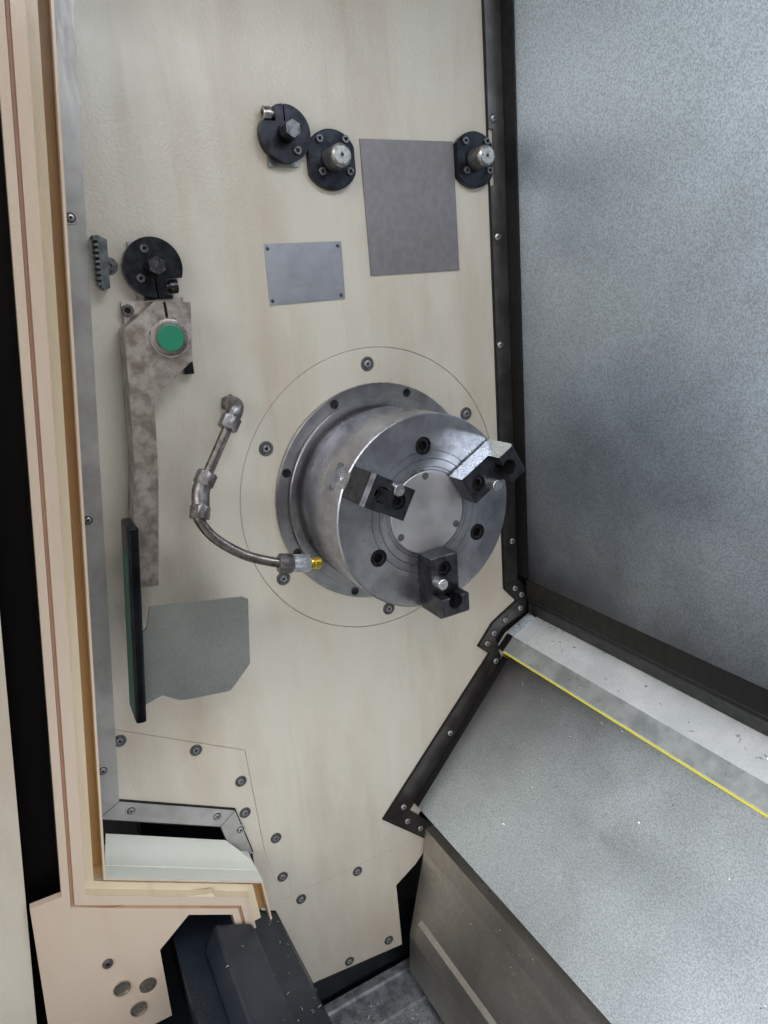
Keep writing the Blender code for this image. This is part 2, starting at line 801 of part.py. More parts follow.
# Fixed front panels and the chamber's far wall
def make_front_panels():
    outer = JAMB_WIDTH + DOOR_GAP + DOOR_THICKNESS
    right_end = JAMB_X - 0.014
    panel_top = DOOR_HIGH - 0.002
    skirt_top = CHAMBER_LOW + FIT
    left_path = [
        (lip_y(panel_top, outer), panel_top),
        (lip_y(DOOR_LOW, outer), DOOR_LOW),
        (FRONT, skirt_top + SHEET),
    ]
    left_x = (MACHINE_LEFT + SHEET + FIT, right_end)
    left = section("front_left_panel", folded(left_path, SHEET), left_x, CREAM)
    end_return = [
        (lip_y(panel_top, outer - 0.002), panel_top - 0.001),
        (lip_y(DOOR_LOW, outer - 0.002), DOOR_LOW),
        (lip_y(DOOR_LOW, outer - DOOR_THICKNESS), DOOR_LOW),
        (lip_y(panel_top, outer - DOOR_THICKNESS), panel_top - 0.001),
    ]
    join(left, section("left_return", end_return, (right_end - 0.003, right_end - 0.0002), CREAM))
    gap_sheet = [
        (lip_y(panel_top, outer - 0.002), panel_top - 0.001),
        (lip_y(DOOR_LOW, outer - 0.002), DOOR_LOW),
        (lip_y(DOOR_LOW, JAMB_WIDTH + 0.0008), DOOR_LOW),
        (lip_y(panel_top, JAMB_WIDTH + 0.0008), panel_top - 0.001),
    ]
    sheet_x = (right_end - 0.026, right_end - 0.023)
    join(left, section("gap_sheet", gap_sheet, sheet_x, CREAM))

    right_path = [
        (lip_y(panel_top, JAMB_WIDTH), panel_top),
        (lip_y(-0.545, JAMB_WIDTH), -0.545),
    ]
    right_x = (DOOR_OPENING_RIGHT, MACHINE_RIGHT - SHEET - FIT)
    section("front_right_panel", folded(right_path, SHEET), right_x, CREAM)

    far_wall = [
        (lip_y(DOOR_HIGH, JAMB_WIDTH - SHEET - FIT), DOOR_HIGH),
        (lip_y(-0.400, JAMB_WIDTH - SHEET - FIT), -0.400),
        (-0.280, -0.590),
        (-0.220, CHAMBER_LOW),
        (0.000, CHAMBER_LOW),
        on_slant(ALONG_LOW + 0.006, -COVER_DEPTH + 0.002),
        on_slant(LIP_ALONG - 0.001, -COVER_DEPTH + 0.002),
        (REAR_COVER_Y, -0.270),
        (REAR_COVER_Y, DOOR_HIGH),
    ]
    section("far_wall", far_wall, (CHAMBER_LENGTH, CHAMBER_LENGTH + WALL_THICKNESS), CREAM)


# Spindle, chuck and jaws
def make_spindle():
    flange_back = -WALL_THICKNESS
    flange_boss = FLANGE_RADIUS - 0.013
    running_bore = SHAFT_RADIUS + SLIDE_GAP
    flange_profile = [
        (FLANGE_DEPTH, FLANGE_RADIUS - 0.001),
        (FLANGE_DEPTH - 0.001, FLANGE_RADIUS),
        (FIT, FLANGE_RADIUS),
        (FIT, flange_boss),
        (flange_back, flange_boss),
        (flange_back, running_bore),
        (FLANGE_DEPTH, running_bore),
    ]
    turned("spindle_flange", flange_profile, STEEL, 64, hollow=True)

    nose_face = CHUCK_BACK - FIT
    nose_back = FLANGE_DEPTH + SLIDE_GAP
    shaft_profile = [
        (nose_face, NECK_RADIUS),
        (ADAPTER_FRONT, NECK_RADIUS),
        (ADAPTER_FRONT, ADAPTER_RADIUS - 0.001),
        (ADAPTER_FRONT - 0.001, ADAPTER_RADIUS),
        (nose_back, ADAPTER_RADIUS),
        (nose_back, SHAFT_RADIUS),
        (-0.890, SHAFT_RADIUS),
        (-0.890, BORE_RADIUS),
        (nose_face, BORE_RADIUS),
    ]
    turned("spindle_shaft", shaft_profile, STEEL, 64, hollow=True)
    cylinder_profile = [
        (-0.890 - FIT, 0.0),
        (-0.890 - FIT, 0.085),
        (-0.905, 0.115),
        (-0.945, 0.115),
        (-0.950, 0.070),
        (-0.985, 0.070),
        (-0.985, 0.0),
    ]
    turned("chuck_cylinder", cylinder_profile, STEEL, 40)

    recess = 0.004
    lip = CHUCK_COVER_RADIUS + FIT
    chuck_profile = [(CHUCK_FACE - recess, 0.0), (CHUCK_FACE - recess, lip), (CHUCK_FACE, lip)]
    for radius in sorted(CHUCK_GROOVES):
        chuck_profile += [
            (CHUCK_FACE, radius - 0.0006),
            (CHUCK_FACE - 0.0012, radius),
            (CHUCK_FACE, radius + 0.0006),
        ]
    chuck_profile += [
        (CHUCK_FACE, CHUCK_RADIUS - 0.0015),
        (CHUCK_FACE - 0.0015, CHUCK_RADIUS),
        (CHUCK_BACK + 0.002, CHUCK_RADIUS),
        (CHUCK_BACK, CHUCK_RADIUS - 0.002),
        (CHUCK_BACK, 0.0),
    ]
    chuck = turned("chuck_body", chuck_profile, STEEL, 64)
    for index, angle in enumerate(JAW_ANGLES):
        axis = jaw_axis(index + 1, angle)
        slot = [
            (-SLOT_WIDTH / 2, CHUCK_FACE + 0.010),
            (-SLOT_WIDTH / 2, CHUCK_FACE - SLOT_HEAD_TOP),
            (-SLOT_HEAD_WIDTH / 2, CHUCK_FACE - SLOT_HEAD_TOP),
            (-SLOT_HEAD_WIDTH / 2, CHUCK_FACE - SLOT_DEPTH),
            (SLOT_HEAD_WIDTH / 2, CHUCK_FACE - SLOT_DEPTH),
            (SLOT_HEAD_WIDTH / 2, CHUCK_FACE - SLOT_HEAD_TOP),
            (SLOT_WIDTH / 2, CHUCK_FACE - SLOT_HEAD_TOP),
            (SLOT_WIDTH / 2, CHUCK_FACE + 0.010),
        ]
        reach = (JAW_SLOT_INNER, CHUCK_RADIUS + 0.010)
        cut(chuck, radial_section("jaw_slot_%d" % (index + 1), slot, reach, axis))
        opposite = math.radians(angle + 180.0)
        centre = (CHUCK_BOLT_CIRCLE * math.cos(opposite), CHUCK_BOLT_CIRCLE * math.sin(opposite))
        depth = (CHUCK_FACE - 0.016, CHUCK_FACE + 0.005)
        cut(chuck, pin("bolt_hole_%d" % (index + 1), 0.0115, depth, None, centre, 24))
        make_jaw(index + 1, axis)

    cover_profile = [
        (CHUCK_FACE + 0.0002, 0.0),
        (CHUCK_FACE + 0.0002, CHUCK_COVER_RADIUS - 0.001),
        (CHUCK_FACE - 0.0008, CHUCK_COVER_RADIUS),
        (CHUCK_FACE - recess + FIT, CHUCK_COVER_RADIUS),
        (CHUCK_FACE - recess + FIT, 0.0),
    ]
    turned("chuck_cover", cover_profile, STEEL, 64)


def jaw_axis(number, angle):
    """An empty whose Z runs out along one jaw slot."""
    axis = bpy.data.objects.new("jaw_axis_%d" % number, None)
    lathe.objects.link(axis)
    axis.parent = nose
    axis.rotation_euler = (math.radians(angle - 90.0), 0.0, 0.0)
    return axis


def radial_section(name, outline, radii, axis):
    """A (sideways, X) outline drawn out along a jaw slot."""
    item = outline_curve(name, [outline], radii[1] - radii[0])
    add(item, None, axis, (0.0, 0.0, sum(radii) / 2), (math.pi, 0.0, math.pi / 2))
    return as_mesh(item)


def serrated_line(start, end, valley):
    """Points (x, radius) of a saw-tooth face between two radii."""
    count = int((end - start) / SERRATION_PITCH)
    points = []
    for index in range(count):
        foot = start + index * SERRATION_PITCH
        points.append((valley, foot))
        points.append((valley + SERRATION_DEPTH, foot + SERRATION_PITCH / 2))
    points.append((valley, start + count * SERRATION_PITCH))
    return points


def make_jaw(number, axis):
    outer = CHUCK_RADIUS - 0.0050
    valley = CHUCK_FACE + 0.0015
    half = SLOT_WIDTH / 2 - FIT
    head_top = CHUCK_FACE - SLOT_HEAD_TOP - FIT
    teeth = serrated_line(BASE_JAW_INNER, outer, valley)
    neck = [(head_top - 0.004, teeth[0][1]), *teeth, (head_top - 0.004, teeth[-1][1])]
    base_jaw = side_section("master_jaw_%d" % number, neck, (-half, half), STEEL, parent=axis)
    head_half = SLOT_HEAD_WIDTH / 2 - FIT
    head = box(
        "jaw_head_%d" % number,
        (CHUCK_FACE - SLOT_DEPTH + FIT, head_top),
        (-head_half, head_half),
        (teeth[0][1], teeth[-1][1]),
        STEEL,
        axis,
    )
    join(base_jaw, head)

    gap = 0.0005
    seat = valley + SERRATION_DEPTH + gap
    grip = [(x + gap, radius) for x, radius in teeth]
    low = CHUCK_FACE + JAW_LOW
    high = CHUCK_FACE + JAW_HIGH
    outline = [
        (low - 0.001, JAW_INNER),
        (seat, JAW_INNER),
        (seat, teeth[0][1] - 0.0008),
        *grip,
        (seat, JAW_OUTER - 0.001),
        (seat, JAW_OUTER),
        (high - 0.005, JAW_OUTER),
        (high, JAW_OUTER - 0.004),
        (high, JAW_STEP + 0.0005),
        (high - 0.0005, JAW_STEP),
        (low, JAW_STEP),
        (low, JAW_INNER + 0.001),
    ]
    jaw = side_section(
        "top_jaw_%d" % number, outline, (-JAW_WIDTH / 2, JAW_WIDTH / 2), BLACK_OXIDE, parent=axis
    )
    inner_screw = pin(
        "inner_screw_hole_%d" % number, 0.0100, (low - 0.016, low + 0.01), None, (0.0, 0.067), 24, axis
    )
    outer_screw = pin(
        "outer_screw_hole_%d" % number, 0.0100, (low - 0.012, high + 0.01), None, (0.0, 0.1045), 24, axis
    )
    cut(jaw, inner_screw)
    cut(jaw, outer_screw)


# Small fittings on the headstock wall
DISC_FRONT = 0.018
DISC_STUD = 0.041
DISC_BASE = 0.006
DISC_STEPS = 40
NOTCH_CORNER = (-0.0113, 0.0127)
FLANGE_PLATE = 0.010
KNOB_RADIUS = 0.0135
KNOB_FRONT = 0.038


def clamp_disc(name, centre, radius, turn):
    """Slotted clamp disc with a hexagon stud, on a small base plate."""
    start = math.pi - math.asin(NOTCH_CORNER[1] / radius)
    end = math.tau + math.acos(NOTCH_CORNER[0] / radius)
    rim = [NOTCH_CORNER]
    for index in range(DISC_STEPS + 1):
        angle = start + (end - start) * index / DISC_STEPS
        rim.append((radius * math.cos(angle), radius * math.sin(angle)))
    facing = 1.0 if turn == 0 else -1.0
    outline = [(centre[0] + facing * y, centre[1] + facing * z) for y, z in rim]
    disc = section(name, outline, (DISC_BASE - 0.001, DISC_FRONT), BLACK_OXIDE)
    slit = box(
        name + "_slit",
        (DISC_BASE + 0.002, DISC_FRONT + 0.01),
        (-0.0008, 0.0008),
        (0.012, radius + 0.01),
        None,
    )
    slit.location = (slit.location.x, centre[0], centre[1] + facing * slit.location.z)
    cut(disc, slit)
    base_y = (centre[0] - 0.0215, centre[0] + 0.0165)
    base_z = (centre[1] - 0.0335, centre[1] + 0.0290)
    join(disc, box(name + "_base", (FIT, DISC_BASE), base_y, base_z, None))
    join(disc, pin(name + "_boss", 0.0110, (DISC_FRONT - 0.002, DISC_FRONT + 0.008), None, centre, 32))
    stud = hexagon(
        name + "_stud", (DISC_FRONT, *centre), (DISC_STUD, *centre), 0.0098, None
    )
    join(disc, stud)
    return disc


def nozzle_flange(name, centre, radius, half_width):
    """Round flange with two flats, and the nozzle's domed head in its middle."""
    profile = [
        (KNOB_FRONT, 0.0),
        (KNOB_FRONT, KNOB_RADIUS - 0.0035),
        (KNOB_FRONT - 0.0012, KNOB_RADIUS - 0.0012),
        (KNOB_FRONT - 0.0035, KNOB_RADIUS),
        (0.012, KNOB_RADIUS),
        (0.012, KNOB_RADIUS + 0.002),
        (FLANGE_PLATE, KNOB_RADIUS + 0.002),
        (FLANGE_PLATE, radius - 0.0010),
        (FLANGE_PLATE - 0.0010, radius),
        (FIT, radius),
        (FIT, 0.0),
    ]
    flange = turned(name, profile, BLACK_OXIDE, 48, location=(0.0, *centre))
    for side, low, high in (("left", -0.08, -half_width), ("right", half_width, 0.08)):
        flat_y = (centre[0] + low, centre[0] + high)
        flat_z = (centre[1] - 0.05, centre[1] + 0.05)
        cut(flange, box("%s_%s_flat" % (name, side), (-0.01, 0.02), flat_y, flat_z, None))
    cut(flange, pin(name + "_hole", 0.0022, (KNOB_FRONT - 0.006, KNOB_FRONT + 0.01), None, centre, 16))
    return flange


ARM_PIVOT = (-0.268, 0.243)
ARM_FRONT = 0.048
ARM_BASE_FRONT = 0.0060


def make_wall_fittings():
    clamp_disc("upper_disc", (-0.0885, 0.4607), 0.0312, 0)
    clamp_disc("lower_disc", (-0.2660, 0.3200), 0.0325, 180)
    nozzle_flange("middle_nozzle_flange", (-0.0277, 0.4348), 0.0347, 0.0308)
    nozzle_flange("right_nozzle_flange", (0.1877, 0.4375), 0.0354, 0.0288)

    base_x = (FIT, ARM_BASE_FRONT)
    section("arm_base", rectangle((-0.306, -0.236), (0.200, 0.286)), base_x, STEEL)
    arm_outline = [
        (-0.277, 0.283),
        (-0.238, 0.279),
        (-0.246, 0.216),
        (-0.295, 0.179),
        (-0.305, 0.095),
        (-0.328, -0.040),
        (-0.357, -0.036),
        (-0.329, 0.110),
        (-0.313, 0.257),
    ]
    arm = section("swing_arm", arm_outline, (ARM_BASE_FRONT + FIT, ARM_FRONT), STEEL)
    slit = box("arm_slit", (0.0, 0.10), (-0.0015, 0.0015), (0.0, 0.05), None)
    slit.location = (0.05, ARM_PIVOT[0] + 0.0015, ARM_PIVOT[1] + 0.018 + 0.025)
    cut(arm, slit)
    join(arm, pin("arm_nut", 0.0215, (ARM_FRONT - 0.001, ARM_FRONT + 0.006), STEEL, ARM_PIVOT, 40))
    cap_x = (ARM_FRONT + 0.006 + FIT, ARM_FRONT + 0.012)
    soften(pin("arm_cap", 0.0145, cap_x, GREEN, ARM_PIVOT, 32), 0.001, 2)

    bar_height = 0.235
    bar = box("arm_bar", (-0.025, 0.025), (-0.006, 0.006), (-bar_height / 2, bar_height / 2), BLACK_OXIDE)
    bar.location = (ARM_FRONT + FIT + 0.025, -0.3655, -0.066)
    bar.rotation_euler = (-LEAN, 0.0, 0.0)
    soften(bar, 0.003, 2)

    def bar_side(z):
        return -0.3655 + math.tan(LEAN) * (z + 0.066) + 0.006 / math.cos(LEAN) + FIT

    plate = [
        (bar_side(-0.078), -0.078),
        (bar_side(-0.078) + 0.006, -0.074),
        (-0.347, -0.049),
        (-0.240, -0.067),
        (-0.233, -0.072),
        (-0.243, -0.157),
        (-0.272, -0.185),
        (-0.332, -0.177),
        (-0.352, -0.162),
        (bar_side(-0.168), -0.168),
    ]
    section("arm_plate", plate, (0.082, 0.0845), STAINLESS)


def tube(name, points, radius, material, resolution=3):
    curve = bpy.data.curves.new(name, "CURVE")
    curve.dimensions = "3D"
    curve.bevel_depth = radius
    curve.bevel_resolution = resolution
    curve.use_fill_caps = True
    spline = curve.splines.new("POLY")
    spline.points.add(len(points) - 1)
    for point, place in zip(spline.points, points):
        point.co = (*place, 1.0)
    item = bpy.data.objects.new(name, curve)
    lathe.objects.link(item)
    add(item, material)
    return as_mesh(item)


def hexagon(name, start, end, radius, material, sides=6):
    """A hexagon nut or plain barrel drawn from one point to another."""
    first = Vector(start)
    along = Vector(end) - first
    length = along.length

    def builder(work):
        bmesh.ops.create_cone(
            work, cap_ends=True, segments=sides, radius1=radius, radius2=radius, depth=length
        )

    item = add(mesh_object(name, builder), material)
    item.location = first + along / 2
    item.rotation_mode = "QUATERNION"
    item.rotation_quaternion = along.to_track_quat("Z", "Y")
    return item


def smooth_route(points, steps):
    """Points on a smooth curve through the given ones."""
    ends = [points[0], *points, points[-1]]
    route = []
    for index in range(len(points) - 1):
        a, b, c, d = (Vector(ends[index + k]) for k in range(4))
        for step in range(steps):
            t = step / steps
            route.append(
                0.5 * (2 * b + (c - a) * t + (2 * a - 5 * b + 4 * c - d) * t * t
                       + (3 * b - a - 3 * c + d) * t ** 3)
            )
    route.append(Vector(points[-1]))
    return [tuple(place) for place in route]


PIPE_RADIUS = 0.0062
WALL_ELBOW = (0.034, -0.200, 0.153)
UPPER_JOINT = (0.052, -0.258, 0.072)
LOWER_JOINT = (0.060, -0.266, 0.050)
PIPE_END = (0.088, -0.186, -0.036)
NOZZLE_TIP = (0.092, -0.127, -0.049)


def make_coolant_pipe():
    towards = Vector(UPPER_JOINT) - Vector(WALL_ELBOW)
    unit = towards.normalized()
    start = Vector(WALL_ELBOW)
    upper = tube("coolant_pipe_upper", [WALL_ELBOW, UPPER_JOINT], PIPE_RADIUS, STEEL)
    join(upper, hexagon("wall_stub", (FIT, start.y + 0.002, start.z + 0.003),
                        (start.x + 0.008, start.y + 0.002, start.z + 0.003), 0.0105, STEEL, 16))
    join(upper, hexagon("upper_nut", start + unit * 0.010, start + unit * 0.030, 0.0125, STEEL))
    end = Vector(UPPER_JOINT)
    join(upper, hexagon("joint_nut", end - unit * 0.016, end + unit * 0.002, 0.0125, STEEL))
    join(upper, hexagon("joint_elbow", end - unit * 0.001, Vector(LOWER_JOINT), 0.0105, STEEL, 16))

    joint = Vector(LOWER_JOINT)
    turn = (joint - end).normalized()
    route = smooth_route(
        [
            tuple(joint + turn * 0.008),
            tuple(joint + turn * 0.018),
            (0.0700, -0.2570, 0.0080),
            (0.0785, -0.2250, -0.0190),
            PIPE_END,
        ],
        4,
    )
    lower = tube("coolant_pipe_lower", route, PIPE_RADIUS, STEEL)
    join(lower, hexagon("lower_nut", joint + turn * 0.0004, joint + turn * 0.016, 0.0125, STEEL))
    out = (Vector(NOZZLE_TIP) - Vector(PIPE_END)).normalized()
    last = Vector(PIPE_END)
    join(lower, hexagon("nozzle_nut", last - out * 0.004, last + out * 0.014, 0.0125, STEEL))
    join(lower, hexagon("nozzle_body", last + out * 0.013, last + out * 0.036, 0.0118, STEEL))
    begin = last + out * (0.036 + FIT)
    hexagon("coolant_nozzle", begin, Vector(NOZZLE_TIP), 0.0075, BRASS, 20)


# Saddle, turret and tailstock
def make_carriages():
    left, right = SADDLE_X
    way_tip = COLUMN_FACE - WAY_HEIGHT
    saddle_outline = [
        (0.140, 0.040),
        (0.165, -0.010),
        (way_tip - FIT, -0.010),
        (way_tip - FIT, 0.580),
        (0.165, 0.580),
        (0.140, 0.555),
    ]
    saddle = section("saddle", saddle_outline, SADDLE_X, CASTING)
    stage_y = REAR_COVER_Y + COVER_THICKNESS + 0.0015
    for name, stage_x in (
        ("rear_stage_left", (FIXED_COVER_RIGHT - 0.10, left + 0.01)),
        ("rear_stage_right", (right - 0.01, BED_RIGHT)),
    ):
        stage = box(
            name,
            stage_x,
            (stage_y, stage_y + COVER_THICKNESS),
            (REAR_COVER_LOW, REAR_COVER_HIGH),
            STAINLESS,
        )
        join(saddle, stage)
    slide = box(
        "turret_slide",
        (left - 0.030, right - 0.140),
        (-0.125, 0.140 - FIT),
        (TURRET_Z - 0.140, TURRET_Z + 0.150),
        CASTING,
    )
    soften(slide, 0.010, 2)

    rim = []
    for station in range(TURRET_STATIONS):
        middle = math.tau * station / TURRET_STATIONS
        flat = TURRET_RADIUS
        half_flat = flat * math.tan(math.pi / TURRET_STATIONS)
        for sideways, out in (
            (-half_flat, flat),
            (-0.013, flat),
            (-0.013, flat - 0.014),
            (0.013, flat - 0.014),
            (0.013, flat),
        ):
            rim.append(
                (
                    out * math.cos(middle) - sideways * math.sin(middle),
                    TURRET_Z + out * math.sin(middle) + sideways * math.cos(middle),
                )
            )
    disc_x = (left - 0.030 - FIT - TURRET_THICKNESS, left - 0.030 - FIT)
    turret = prism("turret_disc", rim, disc_x, STEEL)
    join(turret, pin("turret_hub", 0.070, (disc_x[0] - 0.020, disc_x[0] + 0.01), STEEL, (0.0, TURRET_Z), 40))

    seat = -COVER_DEPTH - 0.050 + FIT
    under_ridge = -COVER_DEPTH - 0.024
    tail_outline = [
        on_slant(UPPER_WAY - 0.001, seat),
        on_slant(LOWER_WAY + WAY_WIDTH + 0.010, seat),
        on_slant(LOWER_WAY + WAY_WIDTH + 0.010, under_ridge),
        on_slant(LOWER_WAY + WAY_WIDTH - 0.005, -COVER_DEPTH + 0.030),
        (0.010, -0.330),
        (-0.080, -0.095),
        (-0.105, -0.050),
        (-0.105, 0.055),
        (-0.055, 0.105),
        (0.055, 0.105),
        (0.105, 0.055),
        (0.120, -0.080),
        on_slant(ALONG_TOP + 0.008, -COVER_DEPTH + 0.060),
        on_slant(ALONG_TOP + 0.008, under_ridge),
        on_slant(UPPER_WAY - 0.001, under_ridge),
    ]
    bore = circle((0.0, 0.0), QUILL_RADIUS + 0.0005, 40)
    tail = section("tailstock", tail_outline, TAILSTOCK_X, CASTING, [bore])
    stage_depth = COVER_DEPTH + COVER_THICKNESS + 0.0015
    tail_stage = [
        on_slant(ALONG_TOP + 0.006, -stage_depth),
        on_slant(ALONG_LOW - 0.009, -stage_depth),
        on_slant(ALONG_LOW - 0.009, -stage_depth - COVER_THICKNESS),
        on_slant(ALONG_TOP + 0.006, -stage_depth - COVER_THICKNESS),
    ]
    left_stage = (FIXED_COVER_RIGHT - 0.10, TAILSTOCK_X[0] + 0.01)
    join(tail, section("tail_stage_left", tail_stage, left_stage, STAINLESS))
    right_stage = (TAILSTOCK_X[1] - 0.01, BED_RIGHT)
    join(tail, section("tail_stage_right", tail_stage, right_stage, STAINLESS))

    front = TAILSTOCK_X[0] - 0.090
    pin("quill", QUILL_RADIUS, (front, TAILSTOCK_X[1] - 0.06), STEEL, steps=40)
    centre_profile = [
        (front - FIT, 0.0),
        (front - FIT, 0.030),
        (front - 0.045, 0.030),
        (front - 0.055, 0.019),
        (front - 0.088, 0.0),
    ]
    turned("live_centre", centre_profile, STEEL, 32)


# Sliding door, hung control box and chip conveyor
DOOR_WIDTH = DOOR_OPENING_RIGHT + DOOR_OVERLAP - (JAMB_X - 0.012)
DOOR_LEFT = DOOR_OPENING_RIGHT + 0.010
WINDOW = ((0.150, DOOR_WIDTH - 0.150), (-0.420, 0.300))
GLASS_GAP = 0.0012


def make_door():
    plane = bpy.data.objects.new("door_plane", None)
    lathe.objects.link(plane)
    plane.parent = nose
    plane.location = (0.0, LIP_Y, LIP_Z)
    plane.rotation_euler = (-LEAN, 0.0, 0.0)
    inner = -(JAMB_WIDTH + DOOR_GAP)
    low = (DOOR_LOW - LIP_Z) / math.cos(LEAN)
    rise = (JAMB_WIDTH + DOOR_GAP + DOOR_THICKNESS) * math.sin(LEAN)
    high = (TRACK_LOW - FIT - rise - LIP_Z) / math.cos(LEAN)
    left = DOOR_LEFT
    right = DOOR_LEFT + DOOR_WIDTH
    opening_x = (left + WINDOW[0][0], left + WINDOW[0][1])
    door = side_section(
        "door_panel",
        rectangle((left, right), (low, high)),
        (inner - DOOR_THICKNESS, inner),
        CREAM,
        [rectangle(opening_x, WINDOW[1])],
        plane,
    )
    soften(door, 0.002, 2)
    glass_x = (opening_x[0] + GLASS_GAP, opening_x[1] - GLASS_GAP)
    glass_z = (WINDOW[1][0] + GLASS_GAP, WINDOW[1][1] - GLASS_GAP)
    box("door_window", glass_x, (inner - 0.030, inner - 0.018), glass_z, GLASS, plane)

    face = inner - DOOR_THICKNESS
    handle_x = left + 0.070
    handle_curve = bpy.data.curves.new("door_handle", "CURVE")
    handle_curve.dimensions = "3D"
    handle_curve.bevel_depth = 0.012
    handle_curve.bevel_resolution = 3
    handle_curve.use_fill_caps = True
    spline = handle_curve.splines.new("POLY")
    corner = 0.018
    stand = 0.055
    route = [
        (0.004, 0.20),
        (-stand + corner, 0.20),
        (-stand + corner * 0.3, 0.20 - corner * 0.3),
        (-stand, 0.20 - corner),
        (-stand, -0.20 + corner),
        (-stand + corner * 0.3, -0.20 + corner * 0.3),
        (-stand + corner, -0.20),
        (0.004, -0.20),
    ]
    spline.points.add(len(route) - 1)
    for point, (y, z) in zip(spline.points, route):
        point.co = (handle_x, face + y, z - 0.20, 1.0)
    handle = bpy.data.objects.new("door_handle", handle_curve)
    lathe.objects.link(handle)
    add(handle, STEEL, plane)
    join(door, as_mesh(handle))


CONTROL_X = MACHINE_RIGHT - 0.48
CONTROL_Y = -0.610
CONTROL_TOP = 0.52
BUTTON_RADIUS = 0.018


def make_control_box():
    swivel = bpy.data.objects.new("control_swivel", None)
    lathe.objects.link(swivel)
    swivel.parent = nose
    swivel.location = (CONTROL_X, CONTROL_Y, CONTROL_TOP)
    control = side_section(
        "control_box",
        rectangle((-0.035, 0.385), (-0.600, 0.0)),
        (-0.045, 0.035),
        GREY_PLASTIC,
        parent=swivel,
    )
    soften(control, 0.008, 2)
    join(control, turned_up("control_stem", 0.020, (-0.01, 0.060), swivel))
    well = turned_up("button_well", BUTTON_RADIUS + 0.0005, (-0.014, 0.010), swivel)
    well.location = (0.325, -0.045, -0.500)
    well.rotation_euler = (math.pi / 2, 0.0, 0.0)
    cut(control, well)
    button = pin("emergency_stop", BUTTON_RADIUS, (-0.006, 0.020), RED, steps=28, parent=swivel)
    button.location = (0.325, -0.045, -0.500)
    button.rotation_euler = (math.pi / 2, 0.0, 0.0)
    soften(button, 0.003, 2)

    # Hanger that carries the box from the roof
    roof = bpy.data.objects["roof_panel"]
    hanger_y = (CONTROL_Y - 0.035, CONTROL_Y + 0.035)
    top_z = (TOP - 0.100, TOP - 0.040)
    arm = box("hanger_arm", (CONTROL_X - 0.035, CONTROL_X + 0.035), (hanger_y[0], -0.385), top_z, CREAM)
    join(roof, arm)
    drop = box(
        "hanger_drop",
        (CONTROL_X - 0.030, CONTROL_X + 0.030),
        (CONTROL_Y - 0.030, CONTROL_Y + 0.030),
        (CONTROL_TOP + 0.060 + FIT, TOP - 0.070),
        CREAM,
    )
    join(roof, drop)


def turned_up(name, radius, z_range, parent):
    item = pin(name, radius, z_range, None, steps=24, parent=parent)
    item.rotation_euler = (0.0, 0.0, 0.0)
    return item


def make_conveyor():
    left = -0.050
    right = MACHINE_RIGHT + 0.040
    side = (-0.190 + FIT, 0.070 - FIT)
    wall = 0.004
    pan = BELT_TOP - 0.031
    trough_outline = [
        (side[0], FLOOR + 0.050),
        (side[0] + wall, FLOOR + 0.050),
        (side[0] + wall, pan - wall),
        (side[1] - wall, pan - wall),
        (side[1] - wall, FLOOR + 0.050),
        (side[1], FLOOR + 0.050),
        (side[1], TROUGH_TOP),
        (side[1] - wall, TROUGH_TOP),
        (side[1] - wall, pan),
        (side[0] + wall, pan),
        (side[0] + wall, TROUGH_TOP),
        (side[0], TROUGH_TOP),
    ]
    trough = section("conveyor_trough", trough_outline, (left, right), DARK_BLUE)
    end = MACHINE_RIGHT + CONVEYOR_REACH
    riser_outline = [
        (right - 0.020, FLOOR),
        (right + 0.180, FLOOR),
        (end - 0.060, -0.330),
        (end, -0.330),
        (end, -0.080),
        (end - 0.180, -0.080),
        (right + 0.040, TROUGH_TOP + 0.025),
        (right - 0.020, TROUGH_TOP + 0.025),
    ]
    riser = side_section("conveyor_riser", riser_outline, (side[0] - 0.010, side[1] + 0.010), DARK_BLUE)
    join(trough, riser)

    top = []
    links = int((right - 0.030 - left - 0.010) / BELT_PITCH)
    start = left + 0.010
    for index in range(links):
        x = start + index * BELT_PITCH
        top += [
            (x, BELT_TOP - 0.004),
            (x + 0.010, BELT_TOP - 0.004),
            (x + 0.013, BELT_TOP),
            (x + 0.019, BELT_TOP),
            (x + 0.022, BELT_TOP - 0.004),
        ]
    finish_x = start + links * BELT_PITCH
    belt_outline = [(start, pan + FIT), (finish_x, pan + FIT), (finish_x, BELT_TOP - 0.004), *top[::-1]]
    belt_y = (side[0] + wall + 0.003, side[1] - wall - 0.003)
    side_section("conveyor_belt", belt_outline, belt_y, STEEL)


make_castings()
make_chip_tank()
make_cabinet()
make_wall()
make_jamb()
make_rear_covers()
make_front_panels()
make_spindle()
make_wall_fittings()
make_coolant_pipe()
make_carriages()
make_door()
make_control_box()
make_conveyor()
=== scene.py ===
# CNC turning lathe with its door slid open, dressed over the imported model.
# Places are measured in metres from the spindle nose, as on the machine's drawings.
import math
import random

import bmesh
import bpy
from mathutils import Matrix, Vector
from mathutils.bvhtree import BVHTree


